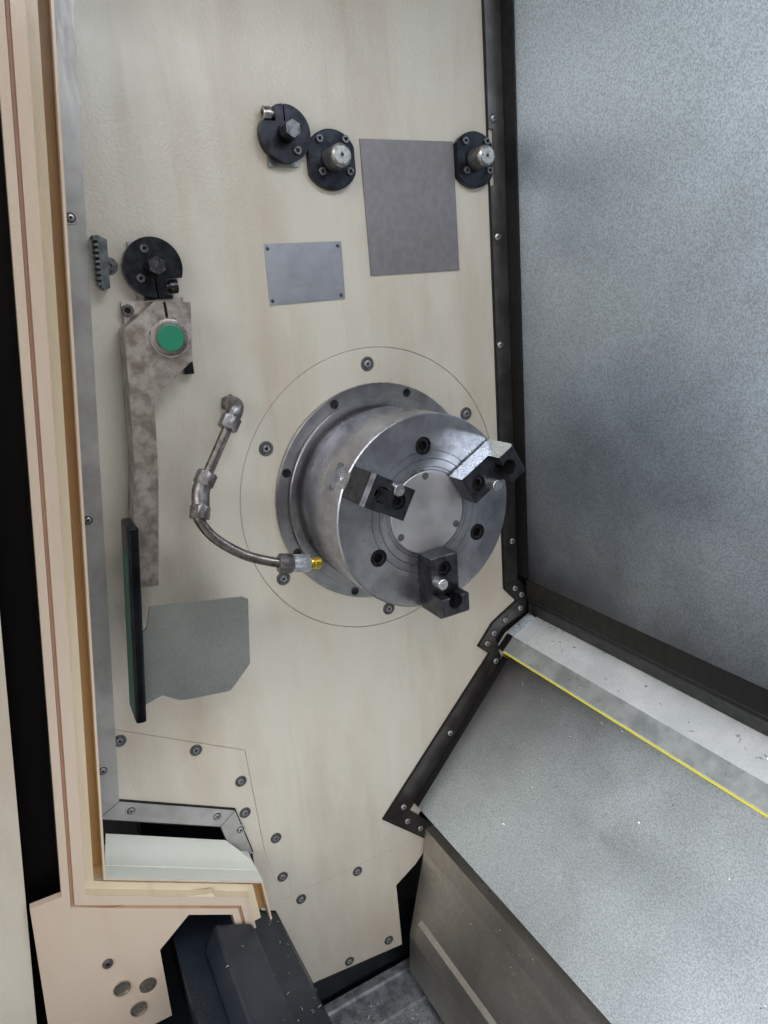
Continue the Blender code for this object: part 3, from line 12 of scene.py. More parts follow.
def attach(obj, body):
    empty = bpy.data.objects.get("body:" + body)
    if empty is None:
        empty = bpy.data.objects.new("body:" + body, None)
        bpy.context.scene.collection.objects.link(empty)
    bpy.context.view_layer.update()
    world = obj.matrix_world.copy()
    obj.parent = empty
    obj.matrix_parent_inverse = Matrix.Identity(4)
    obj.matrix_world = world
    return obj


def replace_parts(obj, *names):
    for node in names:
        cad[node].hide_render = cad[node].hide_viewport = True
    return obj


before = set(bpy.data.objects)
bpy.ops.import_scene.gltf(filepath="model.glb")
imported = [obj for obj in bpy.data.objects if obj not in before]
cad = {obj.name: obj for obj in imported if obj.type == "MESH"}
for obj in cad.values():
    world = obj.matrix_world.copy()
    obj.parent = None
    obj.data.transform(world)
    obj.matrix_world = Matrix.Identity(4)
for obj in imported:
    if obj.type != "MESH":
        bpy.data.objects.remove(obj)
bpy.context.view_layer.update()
stage = bpy.context.scene.collection


# Viewpoint: an operator's eye just inside the open door, looking at the chuck.
# Its place was solved from the machine's straight edges and the chuck's circles.
NOSE = Vector((-0.8, -0.15, 1.1))


def at(x, y, z):
    """A place measured from the spindle nose."""
    return NOSE + Vector((x, y, z))


camera_data = bpy.data.cameras.new("camera")
camera_data.lens = 24.437
camera_data.clip_start = 0.02
camera = bpy.data.objects.new("camera", camera_data)
camera.location = at(0.8667, -0.4354, 0.2594)
camera.rotation_euler = [math.radians(angle) for angle in (73.3271, 4.7401, 61.5803)]
stage.objects.link(camera)
bpy.context.scene.camera = camera
bpy.context.scene.view_settings.view_transform = "Standard"


# Workshop light: plain pale floor, a pale even world and soft lamps outside and in the chamber.
# The chamber's own light strip hangs over the work, so the wall is lit evenly from the right.
def linear(code):
    """An sRGB hex colour as linear red, green, blue and alpha."""
    channels = [int(code[index:index + 2], 16) / 255 for index in (1, 3, 5)]
    return (*(c / 12.92 if c <= 0.04045 else ((c + 0.055) / 1.055) ** 2.4 for c in channels), 1.0)


def feed(tree, item, sockets):
    """Gives sockets of a node plain values or other nodes' outputs."""
    for name, value in sockets.items():
        if isinstance(value, bpy.types.NodeSocket):
            tree.links.new(value, item.inputs[name])
        else:
            item.inputs[name].default_value = value


def new_finish(name, sockets):
    """A material, its node tree and its shader with the given plain values."""
    material = bpy.data.materials.new(name)
    material.use_nodes = True
    tree = material.node_tree
    shader = tree.nodes["Principled BSDF"]
    feed(tree, shader, sockets)
    return material, tree, shader


def plain_finish(name, colour, roughness):
    """One even colour and gloss, with the refraction of paint and plastic."""
    return new_finish(name, {"Base Color": linear(colour), "Roughness": roughness, "IOR": 1.5})[0]


def soft_lamp(name, place, target, size, power, colour, mirrored=True, lighting=True):
    """A rectangular soft lamp that isn't seen itself; it can be only mirrored or only lighting."""
    data = bpy.data.lights.new(name, "AREA")
    data.shape = "RECTANGLE"
    data.size, data.size_y = size
    data.energy = power
    data.color = linear(colour)[:3]
    item = bpy.data.objects.new(name, data)
    item.location = at(*place)
    item.rotation_euler = (at(*target) - at(*place)).to_track_quat("-Z", "Y").to_euler()
    item.visible_camera = False
    item.visible_glossy = mirrored
    item.visible_diffuse = lighting
    stage.objects.link(item)


FLOOR_REACH = 9.0
FLOOR_DROP = 0.001
floor_mesh = bpy.data.meshes.new("floor")
floor_mesh.from_pydata(
    [(x * FLOOR_REACH, y * FLOOR_REACH, 0.0) for x, y in ((-1, -1), (1, -1), (1, 1), (-1, 1))],
    [], [(0, 1, 2, 3)],
)
floor = bpy.data.objects.new("floor", floor_mesh)
floor.location.z = -FLOOR_DROP
stage.objects.link(floor)
floor_mesh.materials.append(plain_finish("pale floor", "#d9d8d5", 0.8))

world = bpy.data.worlds.new("studio")
bpy.context.scene.world = world
world.use_nodes = True
background = world.node_tree.nodes["Background"]
background.inputs["Color"].default_value = linear("#eef0f2")
background.inputs["Strength"].default_value = 0.62

soft_lamp("front lamp", (1.1, -2.3, 1.35), (0.15, 0.0, 0.05), (1.8, 1.4), 26, "#fff8f0")
soft_lamp("strip lamp", (0.72, -0.02, 0.76), (0.3, -0.1, -0.9), (0.5, 0.2), 3.6, "#f4f8ff")
soft_lamp("chamber fill", (0.95, -0.1, -0.25), (0.0, -0.1, -0.35), (0.6, 1.0), 1.7, "#ffffff", False)
soft_lamp("sill fill", (0.58, -0.22, -0.38), (0.02, -0.14, -0.72), (0.5, 0.4), 1.5, "#f6f9ff", False)
soft_lamp("far fill", (0.98, -0.3, 0.6), (1.4, 0.0, -0.1), (0.3, 0.6), 6.0, "#ffffff", False)
soft_lamp("chuck glint", (0.34, -0.3, 0.7), (0.08, 0.0, 0.05), (0.16, 0.08), 0.48, "#f4f8ff", True, False)
soft_lamp("left lamp", (-2.6, -1.6, 1.5), (-0.3, 0.0, 0.0), (1.8, 1.4), 40, "#ffffff")
soft_lamp("rear lamp", (0.8, 3.2, 1.8), (0.3, 0.3, 0.0), (2.2, 1.6), 60, "#ffffff")


# Bed, column and headstock: grey iron castings, filled and sprayed with machine enamel.
# The paint over the sand skin leaves a slight waviness and a low, broken gloss.
def add_node(tree, kind, sockets, out=0, **settings):
    """A shader node with its settings; each socket gets a plain value or another node's output."""
    item = tree.nodes.new("ShaderNode" + kind)
    for name, value in settings.items():
        setattr(item, name, value)
    feed(tree, item, sockets)
    return item.outputs[out]


def metres(tree, stretch=(1.0, 1.0, 1.0), centre=(0.0, 0.0, 0.0)):
    """Places in metres that ride with the piece, from a centre, stretched along the axes."""
    own = add_node(tree, "TexCoord", {}, "Object")
    moved = add_node(tree, "VectorMath", {0: own, 1: tuple(centre)}, operation="SUBTRACT")
    return add_node(tree, "VectorMath", {0: moved, 1: stretch}, operation="MULTIPLY")


def spread(value, low, high, first, last):
    """The sockets that take a number from one range to another."""
    return {"Value": value, "From Min": low, "From Max": high, "To Min": first, "To Max": last}


def patches(tree, place, across, low, high, first, last, detail=4.0):
    """Irregular soft patches some metres across, as a number from first to last."""
    sockets = {"Vector": place, "Scale": 1.0 / across, "Detail": detail, "Roughness": 0.6}
    cloud = add_node(tree, "TexNoise", sockets)
    return add_node(tree, "MapRange", spread(cloud, low, high, first, last), interpolation_type="SMOOTHSTEP")


def painted(name, colour, soil, soiled, gloss, peel, run=1.0, coat=0.2):
    """Sprayed enamel: a peel of fine bumps, uneven gloss, and soil that has run down it."""
    material, tree, shader = new_finish(name, {"Coat Weight": coat, "Coat Roughness": 0.2})
    here = metres(tree)
    cloud = patches(tree, metres(tree, (1.0, 1.0, run)), 0.16, 0.4, 0.72, 0.0, soiled, 6.0)
    clouded = add_node(tree, "Mix", {0: cloud, 6: linear(colour), 7: linear(soil)}, 2, data_type="RGBA")
    streaks = patches(tree, metres(tree, (1.0, 1.0, 0.09)), 0.03, 0.55, 0.78, 0.0, 0.5 * soiled, 3.0)
    grain = patches(tree, here, peel, 0.3, 0.7, 0.0, 1.0, 2.0)
    feed(tree, shader, {
        "Base Color": add_node(tree, "Mix", {0: streaks, 6: clouded, 7: linear(soil)}, 2, data_type="RGBA"),
        "Normal": add_node(tree, "Bump", {"Height": grain, "Distance": 0.09 * peel, "Strength": 0.8}),
        "Roughness": patches(tree, here, 0.035, 0.3, 0.7, gloss - 0.07, gloss + 0.07),
    })
    return material


def dress(material, *names):
    """Gives CAD nodes a material."""
    for name in names:
        for slot in cad[name].material_slots:
            slot.material = material


dress(
    painted("painted grey iron", "#6f7474", "#5a5853", 0.6, 0.5, 0.006),
    "bed_casting", "column_casting", "headstock_casting", "saddle", "turret_slide", "tailstock",
)


# Chip tank, conveyor trough and sill tube: welded steel sprayed with dark blue enamel.
# Chips and boots have scuffed it to a grey bloom on the edges and the sloping side.
dark_paint = painted("dark blue enamel", "#161c26", "#343d49", 0.55, 0.42, 0.003, 0.5, 0.1)
dress(dark_paint, "chip_tank", "rail_beam")
teal_paint = painted("deep teal enamel", "#060d12", "#121c22", 0.5, 0.36, 0.003, 1.0, 0.05)
dress(teal_paint, "conveyor_trough")


# Sheet metal of the cabinet and the headstock wall: steel sheet stoved with cream enamel.
# It has a fine orange peel, a soft gloss, and faint tan runs where coolant mist has dried.
cream_paint = painted("stoved cream enamel", "#c8c4b8", "#ab9682", 0.55, 0.36, 0.0034, 0.3)
dress(
    cream_paint, "headstock_wall", "cover_ring", "lower_left_cover", "lower_cover_panel", "door_jamb",
    "far_wall", "front_left_panel", "rear_panel",
)
cabinet_paint = painted("clean cabinet enamel", "#cbc7bb", "#b9b09f", 0.25, 0.36, 0.0034, 0.5)
dress(cabinet_paint, "front_right_panel", "left_end_panel", "right_end_panel", "roof_panel", "door_panel")
# Paler cream is painted light: the sill and the jamb's upward faces get it as if lit from above.
lit_cream_paint = painted("cream enamel with painted light", "#d9dcd4", "#c9c6b6", 0.4, 0.34, 0.0022)
lip_paint = painted("warm cream enamel", "#c6b6a5", "#b0957f", 0.5, 0.38, 0.0022, 0.15)
step_paint = painted("yellowed enamel", "#d6c9b0", "#b5a082", 0.7, 0.42, 0.0022, 0.12)
# The channel's tan is painted shade for the deep fold next to the inner lip.
channel_shade_paint = painted("tan enamel with painted channel shade", "#bf9866", "#967348", 0.9, 0.5, 0.0022, 0.12, 0.0)
groove_paint = painted("soiled groove", "#ad8a72", "#95725e", 0.8, 0.5, 0.0022, 0.12, 0.0)
# Black sheet painted as shadow: faces deep in the door's gap beside the jamb get it in place of their shade.
gap_shadow_paint, tree, shader = new_finish(
    "black sheet painted as gap shadow", {"Base Color": linear("#090708"), "Specular IOR Level": 0.12}
)
feed(tree, shader, {"Roughness": patches(tree, metres(tree), 0.03, 0.3, 0.7, 0.45, 0.65)})


def reassign(name, materials, choose):
    """Gives single faces of a CAD node other materials, chosen by the face's middle and normal."""
    mesh = cad[name].data
    first = len(mesh.materials)
    for material in materials:
        mesh.materials.append(material)
    for polygon in mesh.polygons:
        index = choose(polygon.center - NOSE, polygon.normal)
        if index is not None:
            polygon.material_index = first + index


# Front lip of the work area: the jamb's channel is folded sheet, welded at its corners.
# It follows the door's lean and turns round the sill, so coolant on the door runs back in.
# Each fold has its own paint: the inner lip painted paler as light from above, the channel's tan bottom as
# painted shade, the other folds with their own stains.
LEAN = math.radians(7.9)
JAMB_PATH = ((-0.2945, 0.779), (-0.4561, -0.386), (-0.268, -0.494), (-0.264, -0.562))


def jamb_side(y, z):
    """How far outside the jamb's inner edge a place is."""
    best = None
    for start, end in zip(JAMB_PATH, JAMB_PATH[1:]):
        run = Vector(end) - Vector(start)
        share = (Vector((y, z)) - Vector(start)).dot(run) / run.length_squared
        foot = Vector(start) + run * max(0.0, min(1.0, share))
        gap = (Vector((y, z)) - foot).length
        best = gap if best is None else min(best, gap)
    return best


LIT_TOP, LIP_PAINT, STEP, CHANNEL, GROOVE = range(5)
# Each band of the jamb: distances outside the inner lip, how far forward it lies, and its paint
JAMB_BANDS = (
    (0.0026, 0.0127, 0.0605, CHANNEL), (0.0127, 0.0243, 0.0715, STEP), (0.0366, 0.0409, 1.0, GROOVE),
)


def jamb_face(middle, normal):
    """Which paint a face of the jamb shows, from its distance outside the inner lip."""
    side = jamb_side(middle.y, middle.z)
    # Upward faces near the inner lip, and the lip's very edge, get the paler cream as painted light from
    # above.
    if middle.x < 0.0485 and normal.z > 0.5 and side < 0.006 or side < 0.0006:
        return LIT_TOP
    if middle.z < -0.56 or side > 0.0415:
        return LIP_PAINT
    for near, far, front, paint in JAMB_BANDS:
        if near <= side < far and middle.x < front:
            return paint
    return LIP_PAINT


reassign("door_jamb", (lit_cream_paint, lip_paint, step_paint, channel_shade_paint, groove_paint), jamb_face)
# Faces of the front panel deep in the gap beside the jamb are painted black as shadow.
reassign("front_left_panel", (gap_shadow_paint,), lambda middle, normal: 0 if 0.0315 < middle.x < 0.0352 else None)
reassign("front_left_panel", (cabinet_paint,), lambda middle, normal: 0 if middle.x < -0.05 else None)


# Panel screws: M6 countersunk screws with hexagon sockets in cupped zinc washers.
# The washers are dull grey, the turned heads catch the light and the sockets are painted dark as shade.
def hexagon_reach(angle):
    """Distance from a hexagon's middle to its side, for corners one unit away."""
    turn = (angle + math.pi / 6) % (math.pi / 3) - math.pi / 6
    return math.cos(math.pi / 6) / math.cos(math.pi / 6 - abs(turn))


def join_loops(work, loops):
    """Faces between closed loops of corners, with the first and the last loop closed."""
    for near, far in zip(loops, loops[1:]):
        for step in range(len(near)):
            after = (step + 1) % len(near)
            work.faces.new((near[step], near[after], far[after], far[step]))
    work.faces.new(loops[0])
    work.faces.new(loops[-1])


def add_turned(work, rings, place, direction=(1.0, 0.0, 0.0), spin=0.0, sides=24):
    """Rings of (radius, height), some marked hex, joined into a closed body on a place."""
    turn = Vector(direction).normalized().to_track_quat("Z", "Y")
    loops = []
    for radius, height, *hexagon in rings:
        loop = []
        for angle in (math.tau * step / sides for step in range(sides)):
            reach = radius * (hexagon_reach(angle) if hexagon else 1.0)
            local = Vector((reach * math.cos(angle + spin), reach * math.sin(angle + spin), height))
            loop.append(work.verts.new(Vector(place) + turn @ local))
        loops.append(loop)
    join_loops(work, loops)


def finish_piece(name, work, material, body="machine", angle=35.0):
    """A bmesh made into an object that rides on a body, smooth up to an edge angle."""
    bmesh.ops.recalc_face_normals(work, faces=work.faces)
    mesh = bpy.data.meshes.new(name)
    work.to_mesh(mesh)
    work.free()
    mesh.materials.append(material)
    for polygon in mesh.polygons:
        polygon.use_smooth = True
    mesh.set_sharp_from_angle(angle=math.radians(angle))
    item = bpy.data.objects.new(name, mesh)
    stage.objects.link(item)
    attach(item, body)
    return item


def turned_set(
    name, rings, places, material, body="machine", direction=(1.0, 0.0, 0.0), sides=24
):
    """One object that holds the same turned piece at several places."""
    work = bmesh.new()
    chance = random.Random(name)
    for place in places:
        add_turned(work, rings, place, direction, chance.uniform(0.0, 1.0), sides)
    return finish_piece(name, work, material, body)


def bare_steel(name, colour, shade, across, gloss, grain, relief=0.00003, film=0.1):
    """Bare metal under a thin dry film: two tones in patches, and tool marks as stretched grain."""
    material, tree, shader = new_finish(name, {"Metallic": 1.0 - film})
    tone = patches(tree, metres(tree), across, 0.36, 0.68, 0.0, 1.0, 5.0)
    grain = grain if isinstance(grain, tuple) else (grain, grain, grain)
    marks = patches(tree, metres(tree, grain), 1.0, 0.25, 0.75, 0.0, 1.0, 3.0)
    two_tone = {0: tone, 6: linear(colour), 7: linear(shade)}
    feed(tree, shader, {
        "Base Color": add_node(tree, "Mix", two_tone, 2, data_type="RGBA"),
        "Normal": add_node(tree, "Bump", {"Height": marks, "Distance": relief, "Strength": 0.5}),
        "Roughness": add_node(tree, "MapRange", spread(marks, 0.0, 1.0, gloss - 0.08, gloss + 0.08)),
    })
    return material


def round_places(x, radius, first, count):
    """Places evenly round the spindle axis, from a first angle in degrees."""
    angles = [math.radians(first + 360 // count * step) for step in range(count)]
    return [at(x, radius * math.cos(angle), radius * math.sin(angle)) for angle in angles]


def spots(x, places):
    """Places given as (Y, Z) on a plane across the spindle axis."""
    return [at(x, y, z) for y, z in places]


def scaled(rings, factor):
    return [(radius * factor, height * factor, *hexagon) for radius, height, *hexagon in rings]


def socket_screws(
    name, rings, places, material, body="machine", direction=(1.0, 0.0, 0.0)
):
    """Screw heads whose last ring is the floor of a hexagon socket, with a near-black disc there as painted
    shade.
    """
    turned_set(name, rings, places, material, body, direction)
    radius, depth = rings[-1][:2]
    socket_shade = ((radius * 0.85, depth - 0.0004), (radius * 0.85, depth + 0.0003))
    turned_set(name + "_sockets", socket_shade, places, painted_hole_shade, body, direction, sides=12)


washer_zinc = bare_steel("dull zinc washer", "#6a6a6c", "#4e4e50", 0.004, 0.5, 900.0, film=0.5)
screw_steel = bare_steel("turned screw head", "#b4b4b6", "#8a8a8d", 0.004, 0.28, 700.0, 0.00002, film=0.4)
painted_hole_shade = plain_finish("painted shade inside a hole", "#120e0c", 0.9)
WASHER = ((0.0098, 0.0), (0.0098, 0.001), (0.009, 0.0017), (0.0064, 0.0013), (0.0058, 0.0004))
SOCKET_HEAD = (
    (0.0052, 0.0002), (0.0052, 0.0016), (0.0046, 0.0026), (0.0034, 0.0031), (0.0025, 0.0031, "hex"),
    (0.0023, 0.001, "hex"),
)
PANEL_SHARE = 0.86
RING_SCREW_RADIUS = 0.1828
ring_screw_places = round_places(0.0, RING_SCREW_RADIUS, 30, 6)
panel_screw_places = spots(0.0, (
    (-0.405, -0.252), (-0.314, -0.304), (-0.261, -0.378), (-0.2235, -0.496), (-0.2226, -0.569),
    (-0.2625, -0.4315), (-0.199, -0.6255), (-0.0995, -0.6245), (-0.1325, -0.795), (-0.0565, -0.7955),
))
turned_set("ring_screw_washers", WASHER, ring_screw_places, washer_zinc, sides=32)
socket_screws("ring_screws", SOCKET_HEAD, ring_screw_places, screw_steel)
turned_set("panel_screw_washers", scaled(WASHER, PANEL_SHARE), panel_screw_places, washer_zinc, sides=32)
socket_screws("panel_screws", scaled(SOCKET_HEAD, PANEL_SHARE), panel_screw_places, screw_steel)


# Front corner plate: painted sheet with one clamping screw, two round setting holes and a plugged one.
# Washers have rubbed the holes' rims bare; the plug is a pressed steel cap.
PLATE_FRONT = 0.0715
socket_screws(
    "corner_plate_screw", scaled(SOCKET_HEAD, 1.25), spots(PLATE_FRONT, [(-0.477, -0.509)]), washer_zinc
)
bare_rim = bare_steel("rubbed bare rim", "#b9b2a6", "#948d82", 0.004, 0.5, 400.0)
turned_set(
    "setting_hole_rims", ((0.0108, 0.0), (0.0106, 0.0022), (0.0094, 0.0022), (0.009, 0.0002)),
    spots(PLATE_FRONT, ((-0.468, -0.556), (-0.455, -0.6))), bare_rim, sides=32,
)
turned_set(
    "setting_hole_plug", ((0.0112, 0.0), (0.011, 0.0007), (0.002, 0.001)),
    spots(PLATE_FRONT, [(-0.438, -0.571)]), bare_rim, sides=32,
)


# Lower end of the left cover: the same stoved cream sheet, cut to a narrow tail.
# It runs down behind the tank's sloping side and is held by the cover's lowest screws.
def add_prism(work, outline, x_range):
    """A (Y, Z) outline from the spindle nose, drawn out along X."""
    join_loops(work, [[work.verts.new(at(x, y, z)) for y, z in outline] for x in x_range])


def prism_piece(name, outline, x_range, material, body="machine", angle=35.0):
    """One outline drawn out along X, as a piece of its own."""
    work = bmesh.new()
    add_prism(work, outline, x_range)
    return finish_piece(name, work, material, body, angle)


prism_piece(
    "left_cover_tail",
    ((-0.2432, -0.5092), (-0.2615, -0.506), (-0.2625, -0.612), (-0.241, -0.6245), (-0.199, -0.8005),
     (-0.1869, -0.8005), (-0.229, -0.6116)),
    (-0.0056, -0.0002), cream_paint,
)


# Sill: cream sheet painted paler as light from above, rising to the wall behind the jamb so coolant drains to
# the channel.
# Its right end is notched round the wiper strip.
SILL_RUN = (Vector((-0.4561, -0.386)), Vector((-0.268, -0.494)))
SILL_START = 0.003
SILL_SHEET = 0.0014
# Rows from the jamb back to the wall: place along x, height over the straight run, and length
SILL_ROWS = (
    (0.0476, 0.0006, 0.216), (0.0395, 0.0014, 0.215), (0.03, 0.004, 0.21), (0.018, 0.01, 0.193),
    (0.0056, 0.0158, 0.174),
)
sill_along = (SILL_RUN[1] - SILL_RUN[0]).normalized()
sill_up = Vector((-sill_along.y, sill_along.x))
sill = bmesh.new()
sill_loops = []
for x, up, end in SILL_ROWS:
    low = up - SILL_SHEET
    corners = ((SILL_START, up), (end, up), (end, low), (SILL_START, low))
    places = [SILL_RUN[0] + sill_along * along + sill_up * lift for along, lift in corners]
    sill_loops.append([sill.verts.new(place) for place in spots(x, places)])
join_loops(sill, sill_loops)
finish_piece("sill_rising_sheet", sill, lit_cream_paint, angle=50.0)


# Wiper frames: strips of rolled steel that clamp black rubber lips against the moving covers.
# Button screws hold them; the lips stand out as a thin black line along each strip's edge.
strip_steel = bare_steel(
    "rolled steel strip", "#aaa9a7", "#949291", 0.05, 0.42, (60.0, 500.0, 30.0), film=0.78
)
dark_strip_steel = bare_steel("oiled steel strip", "#75716f", "#5c5856", 0.05, 0.4, (60.0, 500.0, 30.0))
dress(strip_steel, "wiper_frame_front")
dress(dark_strip_steel, "wiper_frame_rear")
rubber, tree, shader = new_finish("black wiper rubber", {"Base Color": linear("#0d0c0d"), "IOR": 1.52})
feed(tree, shader, {"Roughness": patches(tree, metres(tree), 0.012, 0.3, 0.7, 0.42, 0.62)})


def beside(points, distance):
    """An open (Y, Z) path moved sideways, with mitred corners."""
    moved = []
    for index, point in enumerate(points):
        before = Vector(points[max(index - 1, 0)])
        after = Vector(points[min(index + 1, len(points) - 1)])
        here = Vector(point)
        into = (here - before).normalized() if index > 0 else (after - here).normalized()
        out_of = (after - here).normalized() if index < len(points) - 1 else into
        across = Vector((-into.y, into.x)) + Vector((-out_of.y, out_of.x))
        across = across / max(across.length_squared / 2.0, 0.2)
        moved.append((here.x + across.x * distance, here.y + across.y * distance))
    return moved


def add_ribbon(work, points, near, far, x_range):
    """A strip between two sideways distances from an open (Y, Z) path, drawn out along X."""
    inner = beside(points, near)
    outer = beside(points, far)
    for index in range(len(points) - 1):
        add_prism(work, (inner[index], inner[index + 1], outer[index + 1], outer[index]), x_range)


STRIP_FRONT = 0.0043
FRONT_STRIP = ((-0.27345, 0.774), (-0.4215, -0.336), (-0.277, -0.418), (-0.262, -0.5))
REAR_STRIP_OUTER = (
    (0.2165, 0.776), (0.2165, -0.209), (0.2416, -0.2377), (0.2071, -0.2547), (0.1891, -0.264),
    (0.1592, -0.2965), (0.1811, -0.3169), (-0.0441, -0.5459), (0.032, -0.622),
)
LIP = 0.0016
lips = bmesh.new()
add_ribbon(lips, FRONT_STRIP[1:], 0.0001, LIP, (0.0, STRIP_FRONT - 0.0008))
add_ribbon(lips, FRONT_STRIP, -0.0261, -0.0275, (0.0, STRIP_FRONT + 0.0002))
add_ribbon(lips, REAR_STRIP_OUTER, -0.0002, -LIP, (0.0, STRIP_FRONT - 0.0008))
finish_piece("wiper_lips", lips, rubber)

BUTTON_HEAD = (
    (0.0052, 0.0), (0.0052, 0.0008), (0.0046, 0.002), (0.0034, 0.0027), (0.0022, 0.0029, "hex"),
    (0.002, 0.0012, "hex"),
)
FRONT_SCREWS = (
    (-0.341, 0.375), (-0.387, 0.045), (-0.432, -0.283), (-0.41, -0.355), (-0.303, -0.415), (-0.274, -0.452),
)
STRIP_SCREWS = (
    (0.225, 0.491), (0.225, 0.338), (0.223, 0.186), (0.2285, 0.03), (0.234, -0.129), (0.2366, -0.2132),
    (0.2499, -0.2283), (0.2467, -0.2521), (0.2142, -0.2648), (0.19, -0.2818), (0.1756, -0.2966),
    (0.1918, -0.3345), (0.092, -0.4365), (-0.0071, -0.5384), (-0.0023, -0.5693), (0.0212, -0.5951),
)
rear_screw_places = spots(STRIP_FRONT, STRIP_SCREWS)
front_screw_places = spots(STRIP_FRONT, FRONT_SCREWS)
turned_set(
    "rear_strip_washers", ((0.0062, -0.0002), (0.0062, 0.0003), (0.005, 0.0003)), rear_screw_places, rubber,
)
socket_screws("strip_screws", BUTTON_HEAD, rear_screw_places, screw_steel)
turned_set(
    "front_strip_washers", ((0.0074, 0.0), (0.0074, 0.0006), (0.0068, 0.0012), (0.0044, 0.0012)),
    front_screw_places, strip_steel, sides=32,
)
turned_set(
    "front_strip_rims", ((0.0054, 0.001), (0.0054, 0.0014), (0.004, 0.0014)), front_screw_places, rubber,
)
socket_screws(
    "front_strip_screws", scaled(BUTTON_HEAD, 0.85),
    [place + Vector((0.001, 0.0, 0.0)) for place in front_screw_places], screw_steel,
)
seams = bmesh.new()
for start, end in (
    ((0.2137, -0.2088), (0.2402, -0.1975)), ((-0.044, -0.546), (0.004, -0.55)),
    ((0.2416, -0.2377), (0.264, -0.224)), ((0.1592, -0.2965), (0.1985, -0.309)),
    *zip(FRONT_STRIP[1:3], beside(FRONT_STRIP, -0.026)[1:3]),
):
    add_ribbon(seams, (start, end), -0.0004, 0.0004, (STRIP_FRONT - 0.0004, STRIP_FRONT + 0.00015))
finish_piece("strip_mitre_seams", seams, rubber)


# Rubber wipers behind the strips: black sheet, cut to the way covers and the ridge.
# It closes the slot along the covers' ends, so no chips reach the headstock casting;
# its black there and the apron under the rear cover also stand in for shade as painted shadow.
def rectangle(y_range, z_range):
    """The (Y, Z) outline of an upright box."""
    (near, far), (low, high) = y_range, z_range
    return ((near, low), (far, low), (far, high), (near, high))


SLANT_TOP = Vector((0.2058, -0.3292))
SLANT_LOW = Vector((0.0118, -0.5374))
SLANT_GAP = 0.0004
RUBBER_THICK = 0.002
WIPER_RUN = (0.0046, 0.0196)
CHAMBER_END = 1.559
slant_out = Vector((SLANT_LOW.y - SLANT_TOP.y, SLANT_TOP.x - SLANT_LOW.x)).normalized()
slant_lip = [SLANT_TOP - slant_out * SLANT_GAP, SLANT_LOW - slant_out * SLANT_GAP]
wiper = bmesh.new()
# The black sheet in the slot between the wall and the rear cover is a wiper, and its black is also painted
# shade for the slot.
add_prism(wiper, rectangle((0.243, 0.2448), (-0.19, 0.776)), (0.0046, 0.0295))
add_prism(wiper, (*slant_lip, *[p - slant_out * RUBBER_THICK for p in reversed(slant_lip)]), WIPER_RUN)
add_prism(
    wiper,
    ((0.2366, -0.1935), (0.2366, -0.2132), (0.2499, -0.2283), (0.2467, -0.2521), (0.2142, -0.2648),
     (0.19, -0.2818), (0.1756, -0.2966), (0.1918, -0.3345), (0.2, -0.345), (0.206, -0.331),
     (0.1975, -0.311), (0.2168, -0.2905), (0.2684, -0.269), (0.2684, -0.1935)),
    (0.00004, 0.00026),
)
# The apron is a black sheet over the casting's face below the rear cover, standing in for the shadow there.
SHADOW_APRON = ((0.2462, -0.1945), (0.249, -0.23), (0.2535, -0.2345), (0.254, -0.2405), (0.2664, -0.2672))
add_ribbon(wiper, SHADOW_APRON, 0.0, 0.0012, (0.021, CHAMBER_END))
RIDGE_LIP = ((0.196, -0.3114), (0.2168, -0.2912), (0.266, -0.27))
add_ribbon(wiper, RIDGE_LIP, -RUBBER_THICK, 0.0, WIPER_RUN)
finish_piece("cover_wipers", wiper, rubber)


# Way covers and chute: brushed stainless sheet, folded at the edges and screwed on from behind.
# Oil film and fine chips have left a mottled, silky grey; painted reflection and shade darken the rear cover
# towards the bottom and the sloping cover towards its top under the ridge, both also towards the wall.
def rolled_sheet(name, colour, shade, film, gloss, grain_across, dull=0.15, shade_toward=None, span=None):
    """Rolled stainless under a patchy oil film, with a fine speckle; a direction and a span add painted shade
    that darkens it towards one end.
    """
    material, tree, shader = new_finish(name, {"Metallic": 1.0 - dull, "Anisotropic": 0.3})
    here = metres(tree)
    broad = patches(tree, here, 0.28, 0.35, 0.7, 0.0, film, 5.0)
    # Given a direction and a span, painted shade darkens the sheet towards the span's low end.
    if span:
        line = {0: metres(tree, centre=NOSE), 1: shade_toward}
        along = add_node(tree, "VectorMath", line, "Value", operation="DOT_PRODUCT")
        shade_drift = {0: broad, 1: 0.3 * (span[1] - span[0]), 2: along}
        patches_and_shade = add_node(tree, "Math", shade_drift, operation="MULTIPLY_ADD")
        broad = add_node(tree, "MapRange", spread(patches_and_shade, *span, 1.0, 0.0))
    tone = add_node(tree, "Mix", {0: broad, 6: linear(colour), 7: linear(shade)}, 2, data_type="RGBA")
    speckle = patches(tree, metres(tree, (1.0, 1.0, 0.8)), grain_across, 0.4, 0.62, 0.0, 0.35, 2.0)
    feed(tree, shader, {
        "Base Color": add_node(tree, "Mix", {0: speckle, 6: tone, 7: linear(shade)}, 2, data_type="RGBA"),
        "Normal": add_node(tree, "Bump", {"Height": speckle, "Distance": 0.00016, "Strength": 0.7}),
        "Roughness": patches(tree, here, 0.1, 0.3, 0.7, gloss - 0.05, gloss + 0.1),
    })
    return material


# Rear cover: darker towards the bottom and the wall, partly oil film and partly painted reflection of the
# dark chamber below.
cover_steel = rolled_sheet(
    "oiled stainless sheet with painted reflection", "#e0f0ff", "#37353b", 0.6, 0.33, 0.0016, 0.28, (0.35, 0.0, 1.0), (-0.17, 0.56)
)
dress(cover_steel, "rear_cover_fixed")
